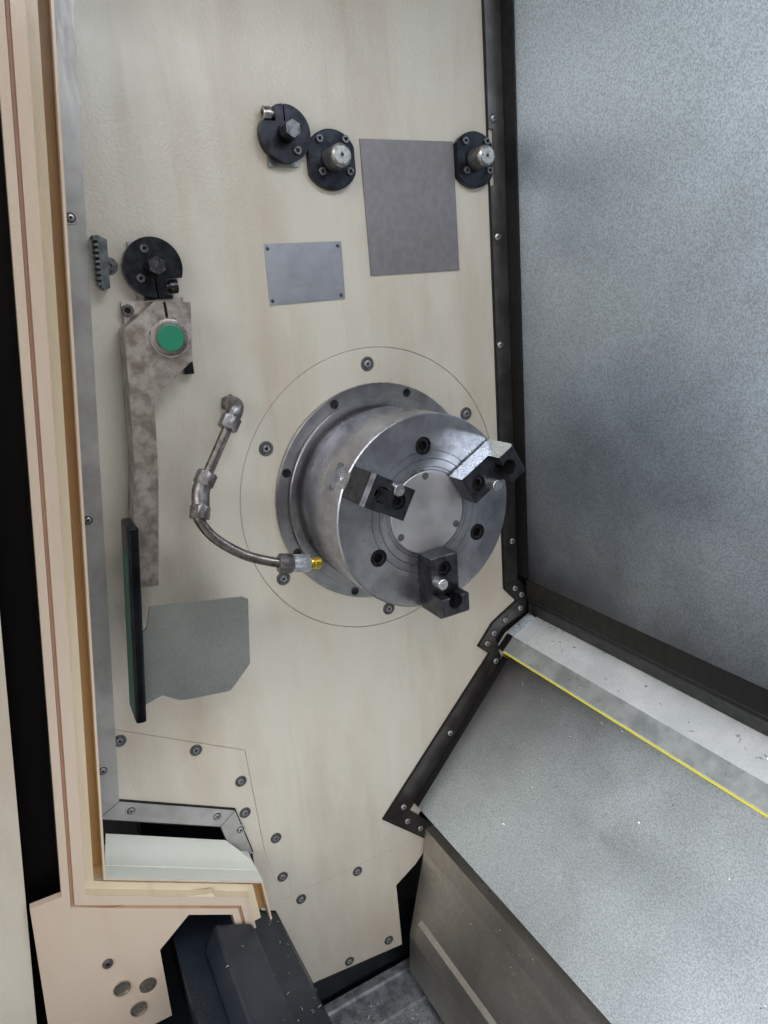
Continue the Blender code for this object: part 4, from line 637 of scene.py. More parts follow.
# Sloping cover: darker towards its top and the wall, as painted shade under the ridge's overhang.
slant_steel = rolled_sheet(
    "scuffed stainless sheet with painted shade", "#dbe6ee", "#615e62", 0.8, 0.34, 0.0018, 0.1, (0.7, -0.5, -0.5), (0.11, 0.37)
)
dress(slant_steel, "slant_cover_fixed")
chute_steel = rolled_sheet("chip-worn stainless sheet", "#d8d3cc", "#a39e98", 0.8, 0.46, 0.004, 0.15)
dress(chute_steel, "chute_sheet")
dress(rolled_sheet("thin stainless plate", "#b9bcb9", "#9c9f9c", 0.5, 0.4, 0.003), "arm_plate")
dress(rolled_sheet("drawn steel rail", "#aeb0b2", "#8a8c8e", 0.5, 0.35, 0.004), "door_rail")
dress(rolled_sheet("bare primed steel", "#8f8b8d", "#7a7678", 0.5, 0.55, 0.008), "access_cover")
CHUTE_OUT = Vector((-0.966, 0.258))
# Laps of the chute: (height, how far it stands out) round each lap, and its run along x
CHUTE_LAPS = (
    (((-0.601, -0.0002), (-0.656, -0.0002), (-0.656, 0.0014), (-0.601, 0.0014)), (0.006, 1.539)),
    (((-0.754, -0.0002), (-0.802, -0.0002), (-0.795, 0.006), (-0.761, 0.006)), (0.03, 1.539)),
)
chute_laps = bmesh.new()
for lap, x_range in CHUTE_LAPS:
    outline = [Vector((0.0198 + 0.267 * (z + 0.6621), z)) + CHUTE_OUT * out for z, out in lap]
    add_prism(chute_laps, outline, x_range)
finish_piece("chute_laps", chute_laps, chute_steel, angle=20.0)


# Ridge beam: folded galvanised sheet over the upper way, with zinc spangle and blind rivets.
# A yellow sealing bead runs under its front edge and a nylon brush wipes its left end.
zinc, tree, shader = new_finish("galvanised sheet", {"Metallic": 0.45})
spangle = add_node(tree, "TexVoronoi", {"Vector": metres(tree), "Scale": 620.0}, "Color")
flake = add_node(tree, "SeparateColor", {0: spangle})
worn = patches(tree, metres(tree), 0.06, 0.35, 0.7, 0.0, 1.0, 5.0)
bright = add_node(tree, "Mix", {0: worn, 6: linear("#fafdff"), 7: linear("#e2e8ea")}, 2, data_type="RGBA")
faint = add_node(tree, "MapRange", spread(flake, 0.0, 1.0, 0.0, 0.3))
feed(tree, shader, {
    "Base Color": add_node(tree, "Mix", {0: faint, 6: bright, 7: linear("#b4babc")}, 2, data_type="RGBA"),
    "Roughness": add_node(tree, "MapRange", spread(flake, 0.0, 1.0, 0.38, 0.62)),
})
dress(zinc, "ridge_beam")
bevel_zinc = bare_steel("shaded zinc bevel", "#c6cccd", "#a6acae", 0.03, 0.5, 500.0, film=0.2)
reassign(
    "ridge_beam", (bevel_zinc,),
    lambda middle, normal: 0 if 0.6 < normal.z < 0.8 and normal.y < -0.5 and middle.z > -0.312 else None,
)
RIVET = ((0.0024, 0.0), (0.0024, 0.0004), (0.0018, 0.0012), (0.0006, 0.0015))
for name, runs, y, z, outward in (
    ("ridge_top_rivets", (0.13, 0.27, 0.41, 0.55, 0.69), 0.25, -0.2755, (0.0, -0.387, 0.922)),
    ("ridge_bevel_rivets", (0.075, 0.19, 0.31, 0.43, 0.55), 0.2061, -0.2996, (0.0, -0.692, 0.722)),
):
    turned_set(name, RIVET, [at(x, y, z) for x in runs], bevel_zinc, direction=outward, sides=16)

yellow_seal = plain_finish("yellow sealing bead", "#d9cf3a", 0.45)
seal_along = (SLANT_LOW - SLANT_TOP).normalized()
corner = Vector((0.1954, -0.3099)) + seal_along * 0.0002 - slant_out * 0.0002
wide = seal_along * 0.0022
prism_piece(
    "ridge_seal_bead",
    (corner, corner + wide, corner + wide - slant_out * 0.003, corner - slant_out * 0.004),
    (0.0215, CHAMBER_END), yellow_seal,
)

nylon, _, _ = new_finish(
    "white nylon bristle", {"Base Color": linear("#c8d2dc"), "Roughness": 0.4, "Subsurface Weight": 0.1}
)
bristles = bmesh.new()
chance = random.Random("ridge brush")
BRISTLES = 260
BRISTLE_ROOT = 0.00035
BRISTLE_TIP = 0.00022
RIDGE_BEND = Vector((0.2168, -0.2894))
RIDGE_TOP = Vector((0.2671, -0.2683))
for step in range(BRISTLES):
    share = chance.uniform(0.0, 0.92)
    root = RIDGE_BEND + (RIDGE_TOP - RIDGE_BEND) * share
    lean = chance.uniform(-0.004, 0.004)
    lift = chance.uniform(0.0004, 0.0042)
    start = at(0.021, root.x, root.y + 0.0004 + chance.uniform(0.0, 0.002))
    end = at(0.0052 + chance.uniform(0.0, 0.005), root.x + lean, root.y + lift - 0.001)
    rings = ((BRISTLE_ROOT, 0.0), (BRISTLE_TIP, (end - start).length))
    add_turned(bristles, rings, start, end - start, 0.0, 4)
finish_piece("ridge_brush", bristles, nylon)


# Spindle flange, adapter and chuck: forged steel, turned and ground on the lathe.
# The turning marks run in rings, so light stretches out in rays from the axis.
RING_DEPTH = 0.00002


def turned_steel(name, colour, shade, gloss, sheen, film=0.04):
    """Turned metal with rings about the spindle axis and cloudy handling marks."""
    material, tree, shader = new_finish(name, {"Metallic": 1.0 - film, "Anisotropic": sheen})
    here = metres(tree, centre=NOSE)
    flat = add_node(tree, "VectorMath", {0: here, 1: (0.0, 1.0, 1.0)}, operation="MULTIPLY")
    radius = add_node(tree, "VectorMath", {0: flat}, "Value", operation="LENGTH")
    along = add_node(tree, "SeparateXYZ", {0: here}, "X")
    ring_place = add_node(tree, "CombineXYZ", {"X": radius, "Y": along})
    # Cutting marks 0.1 to 0.2 mm apart are too fine to show, so they are drawn about 1 mm apart
    marks = patches(tree, ring_place, 0.0011, 0.3, 0.7, 0.0, 1.0, 3.0)
    cloud = patches(tree, here, 0.045, 0.32, 0.72, 0.0, 1.0, 3.0)
    across = add_node(tree, "VectorMath", {0: flat, 1: (1.0, 0.0, 0.0)}, operation="CROSS_PRODUCT")
    two_tone = {0: cloud, 6: linear(colour), 7: linear(shade)}
    feed(tree, shader, {
        "Base Color": add_node(tree, "Mix", two_tone, 2, data_type="RGBA"),
        "Roughness": patches(tree, here, 0.06, 0.3, 0.75, gloss - 0.04, gloss + 0.06, 3.0),
        "Normal": add_node(tree, "Bump", {"Height": marks, "Distance": RING_DEPTH, "Strength": 0.18}),
        "Tangent": add_node(tree, "VectorMath", {0: across}, operation="NORMALIZE"),
    })
    return material


dress(turned_steel("turned chuck steel", "#c6c7cf", "#9c9ca6", 0.28, 0.88), "chuck_body", "chuck_cylinder")
dress(turned_steel("turned flange steel", "#b7b6b9", "#939195", 0.3, 0.85), "spindle_flange", "spindle_shaft")
dress(turned_steel("satin centre cover", "#e2e0e4", "#d0ced2", 0.42, 0.6, 0.14), "chuck_cover")

black_screw = bare_steel("blackened cap screw", "#4c4b4e", "#2b2a2c", 0.004, 0.36, 600.0, 0.00002)
CHUCK_FACE = 0.1347
CAP_HEAD = (
    (0.01, 0.0), (0.01, 0.0125), (0.0094, 0.0134), (0.007, 0.0138), (0.0066, 0.0138, "hex"),
    (0.0064, 0.007, "hex"),
)
CAP_SINK = 0.0158
CHUCK_SCREW_RADIUS = 0.0869
chuck_screw_places = round_places(CHUCK_FACE - CAP_SINK, CHUCK_SCREW_RADIUS, 90, 3)
socket_screws("chuck_cap_screws", CAP_HEAD, chuck_screw_places, black_screw, "spindle")
COVER_SCREW = (
    (0.0047, 0.0), (0.0047, 0.00025), (0.004, 0.0004), (0.0036, 0.0001), (0.0034, 0.0004),
    (0.0019, 0.0004, "hex"), (0.0018, 0.0001, "hex"),
)
COVER_SCREW_RADIUS = 0.0482
cover_screw_places = round_places(CHUCK_FACE + 0.0002, COVER_SCREW_RADIUS, 90, 3)
turned_set("centre_cover_screws", COVER_SCREW, cover_screw_places, washer_zinc, body="spindle")
FLANGE_SINK = (
    (0.0062, -0.0002), (0.0062, 0.00015), (0.0048, 0.00015), (0.0046, 0.0001), (0.003, 0.0001, "hex"),
    (0.0028, 0.00005, "hex"),
)
FLANGE_FACE = 0.0063
FLANGE_SCREW_RADIUS = 0.1475
flange_screw_places = round_places(FLANGE_FACE, FLANGE_SCREW_RADIUS, 68, 8)
turned_set("flange_screws", FLANGE_SINK, flange_screw_places, black_screw)


# Jaws: serrated master jaws in the chuck's slots, each with a stepped top jaw screwed on.
# The top jaws are blackened; on two their sides get a bright painted highlight as lit from above, the third's
# stay dark as shaded; a dowel stands on each lower step.
jaw_black = bare_steel("blackened jaw steel", "#5a5b62", "#3e3f45", 0.012, 0.36, 500.0)
jaw_side_highlight = bare_steel("jaw side with painted highlight", "#e6edf2", "#ced6dc", 0.02, 0.24, (60.0, 60.0, 900.0), 0.000001)
dowel_steel = bare_steel("bright dowel", "#d5d8db", "#aeb1b5", 0.006, 0.25, 700.0, 0.00002)
dress(jaw_black, "top_jaw_1", "top_jaw_2", "top_jaw_3")
dress(dowel_steel, "master_jaw_1", "master_jaw_2", "master_jaw_3")
JAW_LOW = CHUCK_FACE + 0.032
JAW_ANGLES = (150.0, 30.0, 270.0)
JAW_SCREW = scaled(CAP_HEAD, 0.93)
DOWEL = ((0.0072, 0.0), (0.0072, 0.0153), (0.0064, 0.0162))
END_SCREW = (
    (0.0042, -0.0005), (0.0042, 0.0014), (0.0034, 0.0024), (0.0022, 0.0028, "hex"), (0.002, 0.0012, "hex"),
)


def on_jaw(angle, x, out, sideways):
    """A place given along and across one jaw."""
    turn = math.radians(angle)
    return at(
        x,
        out * math.cos(turn) + sideways * math.sin(turn),
        out * math.sin(turn) - sideways * math.cos(turn),
    )


for number, angle in enumerate(JAW_ANGLES, 1):
    body = "jaw_%d" % number
    turn = math.radians(angle)
    sideways = Vector((0.0, math.sin(turn), -math.cos(turn)))
    # Jaws 1 and 2 get bright sides as a painted highlight; jaw 3's sides stay blackened as shaded.
    if number < 3:
        reassign(
            "top_jaw_%d" % number, (jaw_side_highlight,),
            lambda middle, normal, side=sideways: 0 if abs(normal.dot(side)) > 0.98
            and abs(middle.dot(side)) > 0.019 else None,
        )
    turned_set(
        "jaw_screws_%d" % number, JAW_SCREW,
        [on_jaw(angle, JAW_LOW - CAP_SINK, 0.067, 0.0), on_jaw(angle, JAW_LOW - 0.0118, 0.1045, 0.0)],
        black_screw, body,
    )
    turned_set(
        "jaw_dowel_%d" % number, DOWEL, [on_jaw(angle, JAW_LOW - 0.0002, 0.081, 0.0125)], dowel_steel,
        body=body,
    )
    turned_set(
        "master_jaw_end_screw_%d" % number, END_SCREW, [on_jaw(angle, CHUCK_FACE - 0.0275, 0.1195, 0.0)],
        dowel_steel, body=body, direction=(0.0, math.cos(turn), math.sin(turn)),
    )


# Clamp discs and nozzle flanges on the wall: blackened steel with turned, worn rims.
# Small cap screws hold them; the flange nozzles are bare stainless knobs with a bore.
wall_black = bare_steel("blackened fitting", "#34363c", "#202126", 0.015, 0.34, 500.0)
knob_steel = bare_steel("stainless knob", "#bcbab6", "#8d8a86", 0.006, 0.34, 250.0, 0.00004)
base_steel = bare_steel("bright base plate", "#a8a9a8", "#7f807f", 0.01, 0.38, 400.0)
stud_steel = bare_steel("worn stud steel", "#77777a", "#4b4b4e", 0.006, 0.35, 400.0)
dress(wall_black, "upper_disc", "lower_disc", "middle_nozzle_flange", "right_nozzle_flange")
UPPER_DISC = (-0.0885, 0.4607)
LOWER_DISC = (-0.266, 0.32)
MIDDLE_FLANGE = (-0.0277, 0.4348)
RIGHT_FLANGE = (0.1877, 0.4375)
BASE_TOP = 0.0062
STUD_FOOT = 0.0262
KNOB_FOOT = 0.0121
KNOB_REACH = 0.015
dark_stud = bare_steel("oiled black stud", "#5c5c61", "#303035", 0.006, 0.3, 400.0)
for name, stud in (("lower_disc", dark_stud), ("upper_disc", stud_steel)):
    reassign(
        name, (base_steel, stud),
        lambda middle, normal: 0 if middle.x < BASE_TOP else 1 if middle.x > STUD_FOOT else None,
    )
for name, centre in (("middle_nozzle_flange", MIDDLE_FLANGE), ("right_nozzle_flange", RIGHT_FLANGE)):
    reassign(
        name, (knob_steel,),
        lambda middle, normal, c=centre: 0 if middle.x > KNOB_FOOT
        and math.hypot(middle.y - c[0], middle.z - c[1]) < KNOB_REACH else None,
    )
SMALL_CAP = (
    (0.0047, 0.0), (0.0047, 0.0028), (0.0042, 0.0033), (0.0027, 0.0033, "hex"), (0.0025, 0.0016, "hex"),
)
worn_cap = bare_steel("worn cap screw", "#7d7c80", "#4d4c50", 0.003, 0.32, 500.0, 0.00002, film=0.35)
flange_caps = spots(0.01, (
    (centre[0] + y, centre[1] + z) for centre in (MIDDLE_FLANGE, RIGHT_FLANGE)
    for y, z in ((-0.0158, 0.0229), (0.0195, 0.0229), (-0.0158, -0.0136), (0.0222, -0.0136))
))
socket_screws("flange_cap_screws", SMALL_CAP, flange_caps, worn_cap)
disc_caps = spots(0.018, ((-0.077, 0.442), (-0.273, 0.34), (-0.282, 0.309)))
socket_screws("disc_cap_screws", SMALL_CAP, disc_caps, worn_cap)
CLAMP_HEAD = (
    (0.0045, 0.0), (0.0045, 0.004), (0.0078, 0.004), (0.0078, 0.0125), (0.0072, 0.0132),
    (0.0042, 0.0132, "hex"), (0.004, 0.007, "hex"),
)
turned_set(
    "upper_clamp_screw", CLAMP_HEAD, [at(0.0118, UPPER_DISC[0] - 0.0113, UPPER_DISC[1] + 0.0215)],
    knob_steel, direction=(0.0, -1.0, 0.0),
)
turned_set(
    "lower_clamp_screw", CLAMP_HEAD, [at(0.0118, LOWER_DISC[0] + 0.0113, LOWER_DISC[1] - 0.0215)],
    black_screw, direction=(0.0, 1.0, 0.0),
)
prism_piece(
    "lower_disc_foot", rectangle((-0.28, -0.248), (0.2855, 0.2895)), (0.0, 0.01), wall_black
)


# Small plate: thin anodised aluminium, fixed to the wall by four rivets.
# Rolled aluminium shows a soft vertical grain and a slightly bluish grey.
sign_alloy = bare_steel(
    "anodised aluminium plate", "#a9abb2", "#999ba2", 0.05, 0.5, (30.0, 30.0, 600.0), 0.00002
)
prism_piece(
    "bare_sign_plate", ((-0.1288, 0.2688), (-0.0243, 0.2697), (-0.0222, 0.3412), (-0.1268, 0.3414)),
    (0.0, 0.001), sign_alloy,
)
rivet_places = spots(0.001, ((-0.1228, 0.3362), (-0.0276, 0.336), (-0.0296, 0.275), (-0.1246, 0.2742)))
turned_set("sign_rivets", RIVET, rivet_places, stud_steel, sides=16)


# Toothed block: a small steel comb on the wall that wipes chips off the probe arm.
# Its teeth are milled across one edge; a washer and a socket screw hold it from the side.
comb_steel = bare_steel("milled comb steel", "#6c7277", "#4e5358", 0.008, 0.36, 300.0, 0.00004)
TOOTH_PITCH = 0.0057
TOOTH_TOP = 0.3525
comb_outline = [(-0.322, 0.299), (-0.3165, 0.3005), (-0.311, 0.35), (-0.319, 0.355), (-0.3255, 0.355)]
for step in range(9):
    z = TOOTH_TOP - step * TOOTH_PITCH
    slope = (z - 0.3015) * 0.09
    for depth, down in ((-0.3285, 0.0), (-0.3285, 0.45), (-0.325, 0.5), (-0.325, 0.95)):
        comb_outline.append((depth + slope, z - TOOTH_PITCH * down))
prism_piece("toothed_block", comb_outline, (0.0, 0.0235), comb_steel, angle=30.0)
turned_set(
    "toothed_block_washer",
    ((0.0095, 0.0), (0.0095, 0.0014), (0.006, 0.0016), (0.0058, 0.005), (0.003, 0.005, "hex"),
     (0.0028, 0.002, "hex")),
    [at(0.0002, -0.3105, 0.325)], stud_steel,
)


# Probe arm: ground steel arm clamped on its base, with a ring nut, a green cap and a black bar.
# The bar carries a green edge strip and a thin stainless plate that shields the probe.
arm_steel = bare_steel(
    "ground arm steel", "#c2bab6", "#91867f", 0.016, 0.4, (60.0, 60.0, 14.0), 0.00004, film=0.15
)
dress(arm_steel, "swing_arm", "arm_base")
dress(plain_finish("green moulded cap", "#17775a", 0.42), "arm_cap")
dress(bare_steel("blackened bar", "#2c2e33", "#1c1d21", 0.03, 0.4, (60.0, 60.0, 14.0)), "arm_bar")
ARM_PIVOT = (-0.268, 0.243)
ARM_FRONT = 0.048
nut_steel = bare_steel("turned ring nut", "#aba7a4", "#86827f", 0.01, 0.33, 400.0)
turned_set(
    "arm_ring_nut",
    ((0.0218, 0.0), (0.0218, 0.0046), (0.0208, 0.0056), (0.0198, 0.006), (0.0158, 0.0062), (0.015, 0.0052),
     (0.0149, 0.004)),
    [at(ARM_FRONT + 0.0001, *ARM_PIVOT)], nut_steel, body="tool_arm", sides=48,
)
# The ring nut's slots are near-black blocks in the nut's rim, painted shade in place of cut slots.
nut_slots = bmesh.new()
for angle in (math.radians(value) for value in (160, 250, 70, 340)):
    middle = Vector((ARM_PIVOT[0] + 0.021 * math.cos(angle), ARM_PIVOT[1] + 0.021 * math.sin(angle)))
    across = Vector((-math.sin(angle), math.cos(angle))) * 0.0022
    deep = Vector((math.cos(angle), math.sin(angle))) * 0.001
    corners = (middle + across + deep, middle - across + deep, middle - across - deep, middle + across - deep)
    add_prism(nut_slots, corners, (ARM_FRONT + 0.0035, ARM_FRONT + 0.0058))
finish_piece("ring_nut_slots", nut_slots, painted_hole_shade, "tool_arm")
socket_screws("arm_base_screw", scaled(SMALL_CAP, 1.45), [at(0.006, -0.3005, 0.276)], worn_cap)
prism_piece(
    "arm_stop_block", rectangle((-0.249, -0.2385), (0.1985, 0.212)), (0.0, 0.014), wall_black
)

edge_strip = plain_finish("green edge strip", "#1f4a3c", 0.5)
BAR_MIDDLE = (-0.3655, -0.066)
BAR_LOW = 0.235 / 2 * 0.93
STRIP_TOP = BAR_LOW * 0.78
strip_outline = [
    (BAR_MIDDLE[0] + sideways * math.cos(-LEAN) - up * math.sin(-LEAN),
     BAR_MIDDLE[1] + sideways * math.sin(-LEAN) + up * math.cos(-LEAN))
    for sideways, up in ((-0.0052, -BAR_LOW), (-0.0062, -BAR_LOW), (-0.0062, STRIP_TOP), (-0.0052, STRIP_TOP))
]
prism_piece(
    "bar_edge_strip", strip_outline, (ARM_FRONT + 0.01, ARM_FRONT + 0.043), edge_strip,
    "tool_arm",
)


# Coolant pipe: zinc-plated compression fittings with bent steel tube and a brass nozzle.
# The CAD's plain solids are replaced by elbows with forged corners and chamfered nuts.
pipe_steel = bare_steel("drawn steel tube", "#8d8783", "#6d6763", 0.01, 0.33, 300.0)
fitting_zinc = bare_steel("zinc-plated fitting", "#8f8c8d", "#6c696a", 0.008, 0.36, 300.0, 0.00004)
clean_zinc = bare_steel("blue-grey zinc fitting", "#c3ccd4", "#9fa8b0", 0.008, 0.32, 300.0, film=0.35)
PIPE_RADIUS = 0.0062
WALL_ELBOW = Vector((0.034, -0.2, 0.153))
UPPER_JOINT = Vector((0.052, -0.258, 0.072))
LOWER_JOINT = Vector((0.06, -0.266, 0.05))
PIPE_END = Vector((0.088, -0.186, -0.036))
NOZZLE_TIP = Vector((0.092, -0.127, -0.049))
FITTING_RADIUS = 0.0125
NUT_LENGTH = 0.017


def add_tube(work, points, radius, sides=20):
    """A round tube along points measured from the nose, closed at both ends."""
    places = [at(*point) for point in points]
    loops = []
    side = None
    for index, place in enumerate(places):
        run = (places[min(index + 1, len(places) - 1)] - places[max(index - 1, 0)]).normalized()
        side = run.orthogonal().normalized() if side is None else (side - run * side.dot(run)).normalized()
        other = run.cross(side)
        loops.append([
            work.verts.new(place + (side * math.cos(turn) + other * math.sin(turn)) * radius)
            for turn in (math.tau * step / sides for step in range(sides))
        ])
    join_loops(work, loops)


def bend(start, corner, end, radius, steps=8):
    """Points of a smooth quarter bend between two straight runs."""
    first = corner + (start - corner).normalized() * radius
    last = corner + (end - corner).normalized() * radius
    return [
        first * (1 - t) ** 2 + corner * 2 * t * (1 - t) + last * t ** 2
        for t in (step / steps for step in range(steps + 1))
    ]


def smooth_route(points, steps=8):
    """Points on a smooth curve through the given ones."""
    ends = [points[0], *points, points[-1]]
    route = []
    for index in range(len(points) - 1):
        a, b, c, d = (Vector(ends[index + k]) for k in range(4))
        for step in range(steps):
            t = step / steps
            route.append(0.5 * (
                2 * b + (c - a) * t + (2 * a - 5 * b + 4 * c - d) * t * t + (3 * b - a - 3 * c + d) * t ** 3
            ))
    route.append(Vector(points[-1]))
    return route


def add_nut(work, place, direction, radius, length, chamfer=0.0012):
    """A hexagon nut on the pipe, with turned chamfers, from one face along its axis."""
    flat = radius * math.cos(math.pi / 6)
    rings = (
        (PIPE_RADIUS, 0.0), (flat, 0.0), (radius, chamfer, "hex"), (radius, length - chamfer, "hex"),
        (flat, length), (PIPE_RADIUS, length),
    )
    add_turned(work, rings, at(*place), direction, 0.2, 36)


upper_run = (UPPER_JOINT - WALL_ELBOW).normalized()
upper = bmesh.new()
stub = Vector((0.0, WALL_ELBOW.y + 0.002, WALL_ELBOW.z + 0.003))
ahead = Vector((1.0, 0.0, 0.0))
add_turned(
    upper,
    ((0.0118, 0.0, "hex"), (0.0118, 0.006, "hex"), (0.01, 0.0075), (0.0092, 0.016), (0.0092, 0.024)),
    at(*(stub + ahead * 0.0003)), ahead, 0.3, 36,
)
elbow = bend(stub + ahead * 0.02, stub + ahead * 0.034, WALL_ELBOW + upper_run * 0.02, 0.013)
add_tube(upper, [stub + ahead * 0.018, *elbow, WALL_ELBOW + upper_run * 0.016], 0.0104)
add_nut(upper, WALL_ELBOW + upper_run * 0.011, upper_run, FITTING_RADIUS, NUT_LENGTH)
add_nut(upper, UPPER_JOINT - upper_run * 0.016, upper_run, FITTING_RADIUS, NUT_LENGTH)
lower_turn = (LOWER_JOINT - UPPER_JOINT).normalized()
corner_place = UPPER_JOINT + upper_run * 0.007
joint_bend = bend(UPPER_JOINT, corner_place, LOWER_JOINT + lower_turn * 0.002, 0.0068, 6)
add_tube(upper, [UPPER_JOINT - upper_run * 0.001, *joint_bend, LOWER_JOINT + lower_turn * 0.001], 0.0106)
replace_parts(finish_piece("coolant_fittings_upper", upper, fitting_zinc, angle=30.0), "coolant_pipe_upper")

tubes = bmesh.new()
add_tube(tubes, [WALL_ELBOW + upper_run * 0.014, UPPER_JOINT - upper_run * 0.004], PIPE_RADIUS)
lower_route = smooth_route([
    LOWER_JOINT + lower_turn * 0.008, LOWER_JOINT + lower_turn * 0.018, (0.07, -0.257, 0.008),
    (0.0785, -0.225, -0.019), PIPE_END,
])
add_tube(tubes, lower_route, PIPE_RADIUS)
finish_piece("coolant_tubes", tubes, pipe_steel, angle=30.0)

nozzle_run = (NOZZLE_TIP - PIPE_END).normalized()
lower = bmesh.new()
add_nut(lower, LOWER_JOINT + lower_turn * 0.0006, lower_turn, FITTING_RADIUS, 0.016)
add_nut(lower, PIPE_END - nozzle_run * 0.004, nozzle_run, FITTING_RADIUS, 0.018)
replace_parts(finish_piece("coolant_fittings_lower", lower, fitting_zinc, angle=30.0), "coolant_pipe_lower")
body_work = bmesh.new()
add_nut(body_work, PIPE_END + nozzle_run * 0.0145, nozzle_run, 0.0113, 0.0215, 0.001)
finish_piece("coolant_nozzle_body", body_work, clean_zinc, angle=30.0)
brass = bare_steel("turned brass", "#f0d65a", "#c9a93c", 0.004, 0.28, 900.0, 0.00002)
nozzle = bmesh.new()
add_turned(
    nozzle,
    ((0.007, 0.0), (0.0074, 0.001), (0.0074, 0.004), (0.0064, 0.005),
     (0.0064, 0.006), (0.0074, 0.007), (0.0074, 0.0135), (0.0064, 0.015),
     (0.004, 0.0152), (0.0034, 0.011)),
    at(*(PIPE_END + nozzle_run * 0.0363)), nozzle_run, 0.0, 32,
)
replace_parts(finish_piece("coolant_nozzle_tip", nozzle, brass, angle=30.0), "coolant_nozzle")


# Turret, quill and centre: ground tool steel, kept bright by the coolant oil.
# They stand at the right of the work area and show only through the open door.
dress(
    bare_steel("ground tool steel", "#b4b4b6", "#8f8f92", 0.03, 0.32, 300.0),
    "turret_disc", "quill", "live_centre",
)


# Conveyor trough's left end: a plate of the same dark teal sheet as the trough.
# It is welded in under the lower cover panel, so chips can't fall out behind the belt.
prism_piece(
    "trough_end_plate", rectangle((-0.1985, 0.0785), (-1.08, -0.79)), (-0.049, -0.0455), teal_paint,
)


# Conveyor belt: hinged plates of raw steel in the trough, under a bed of fine chips.
# Chips from the cut lie on the belt, the chute and the sloping tank side as bright slivers.
belt_steel = bare_steel("worn belt plate", "#c9cdd3", "#8d9198", 0.02, 0.42, 200.0, 0.00005, film=0.35)
dress(belt_steel, "conveyor_belt")
chip_steel = bare_steel("bright steel chip", "#e6e8ea", "#b5b7ba", 0.004, 0.25, 500.0, 0.00002)
CHIP_STEPS = 4
CHIP_THICK = 0.00022
CHIP_LIFT = 0.0002


def add_chip(work, place, normal, chance):
    """A curled sliver lying on a surface: a short arc of ribbon standing on its edges."""
    length = chance.uniform(0.0025, 0.0085)
    width = chance.uniform(0.0005, 0.0013)
    curl = chance.uniform(0.5, 2.6)
    turn = chance.uniform(0.0, math.tau)
    side = normal.orthogonal().normalized()
    other = normal.cross(side)
    run = side * math.cos(turn) + other * math.sin(turn)
    across = normal.cross(run)
    loops = []
    for step in range(CHIP_STEPS + 1):
        angle = (step / CHIP_STEPS - 0.5) * curl
        forward = math.sin(angle) * length / curl
        lift = (math.cos(angle) - math.cos(curl / 2)) * length / curl
        base = place + run * forward + normal * (lift + CHIP_LIFT)
        loops.append([
            work.verts.new(base + across * way * width / 2 + normal * raised)
            for way, raised in ((1, 0.0), (-1, 0.0), (-1, CHIP_THICK), (1, CHIP_THICK))
        ])
    join_loops(work, loops)


def surface_of(*names):
    """A search tree over the faces of CAD nodes."""
    points = []
    faces = []
    for name in names:
        mesh = cad[name].data
        first = len(points)
        points += [vertex.co.copy() for vertex in mesh.vertices]
        faces += [[first + index for index in polygon.vertices] for polygon in mesh.polygons]
    return BVHTree.FromPolygons(points, faces)


DROP_REACH = 0.6


def strew(name, target, low, high, direction, count):
    """Chips dropped in a box of places along a direction onto a CAD node."""
    tree_of_faces = surface_of(target)
    chance = random.Random(name)
    work = bmesh.new()
    fall = Vector(direction).normalized()
    for _ in range(count):
        start = at(*(chance.uniform(a, b) for a, b in zip(low, high)))
        hit, normal, _, reach = tree_of_faces.ray_cast(start, fall)
        if hit is None or reach > DROP_REACH:
            continue
        if normal.dot(fall) > 0:
            normal = -normal
        add_chip(work, hit, normal, chance)
    finish_piece(name, work, chip_steel)


DOWN = (0, 0, -1)
strew("chips_on_belt", "conveyor_belt", (0.0, -0.2, -0.7), (0.75, 0.06, -0.7), DOWN, 4200)
strew("chips_on_chute", "chute_sheet", (0.01, -0.1, -0.6), (0.6, 0.06, -0.6), (0, 1, -0.6), 150)
strew("chips_on_slope", "chip_tank", (0.01, -0.33, -0.6), (0.6, -0.16, -0.6), DOWN, 160)
strew("chips_on_slant", "slant_cover_fixed", (0.02, 0.0, -0.2), (0.6, 0.2, -0.2), (0, 0.2, -1), 40)
strew("chips_on_ridge", "ridge_beam", (0.02, 0.2, -0.2), (0.6, 0.27, -0.2), DOWN, 40)
strew("chips_on_beam", "rail_beam", (0.02, -0.45, -0.45), (0.6, -0.28, -0.45), DOWN, 30)


# Cabinet covers outside: enamelled sheet doors on the rear and right ends, with pressed louvres.
# Each door is hung in a narrow gap; blades behind the louvre openings let the warm air out.
LOUVRE_PITCH = 0.018
LOUVRE_MARGIN = 0.12
DOOR_GAP = 0.002
REAR_FACE = (at(0.0, 0.9737, 0.0), Vector((1, 0, 0)), Vector((0, 1, 0)))
RIGHT_X = 1.98
SWITCH_X = RIGHT_X + 0.0118
RIGHT_FACE = (at(RIGHT_X, 0.0, 0.0), Vector((0, 1, 0)), Vector((1, 0, 0)))


def add_slab(work, face, u, v, n):
    """A flat block on an upright face, from ranges across it, up it and out of it."""
    origin, across, outward = face
    corners = [
        work.verts.new(origin + across * side + Vector((0.0, 0.0, height)) + outward * out)
        for side in u for height in v for out in n
    ]
    for quad in ((0, 1, 3, 2), (4, 6, 7, 5), (0, 4, 5, 1), (2, 3, 7, 6), (0, 2, 6, 4), (1, 5, 7, 3)):
        work.faces.new([corners[index] for index in quad])


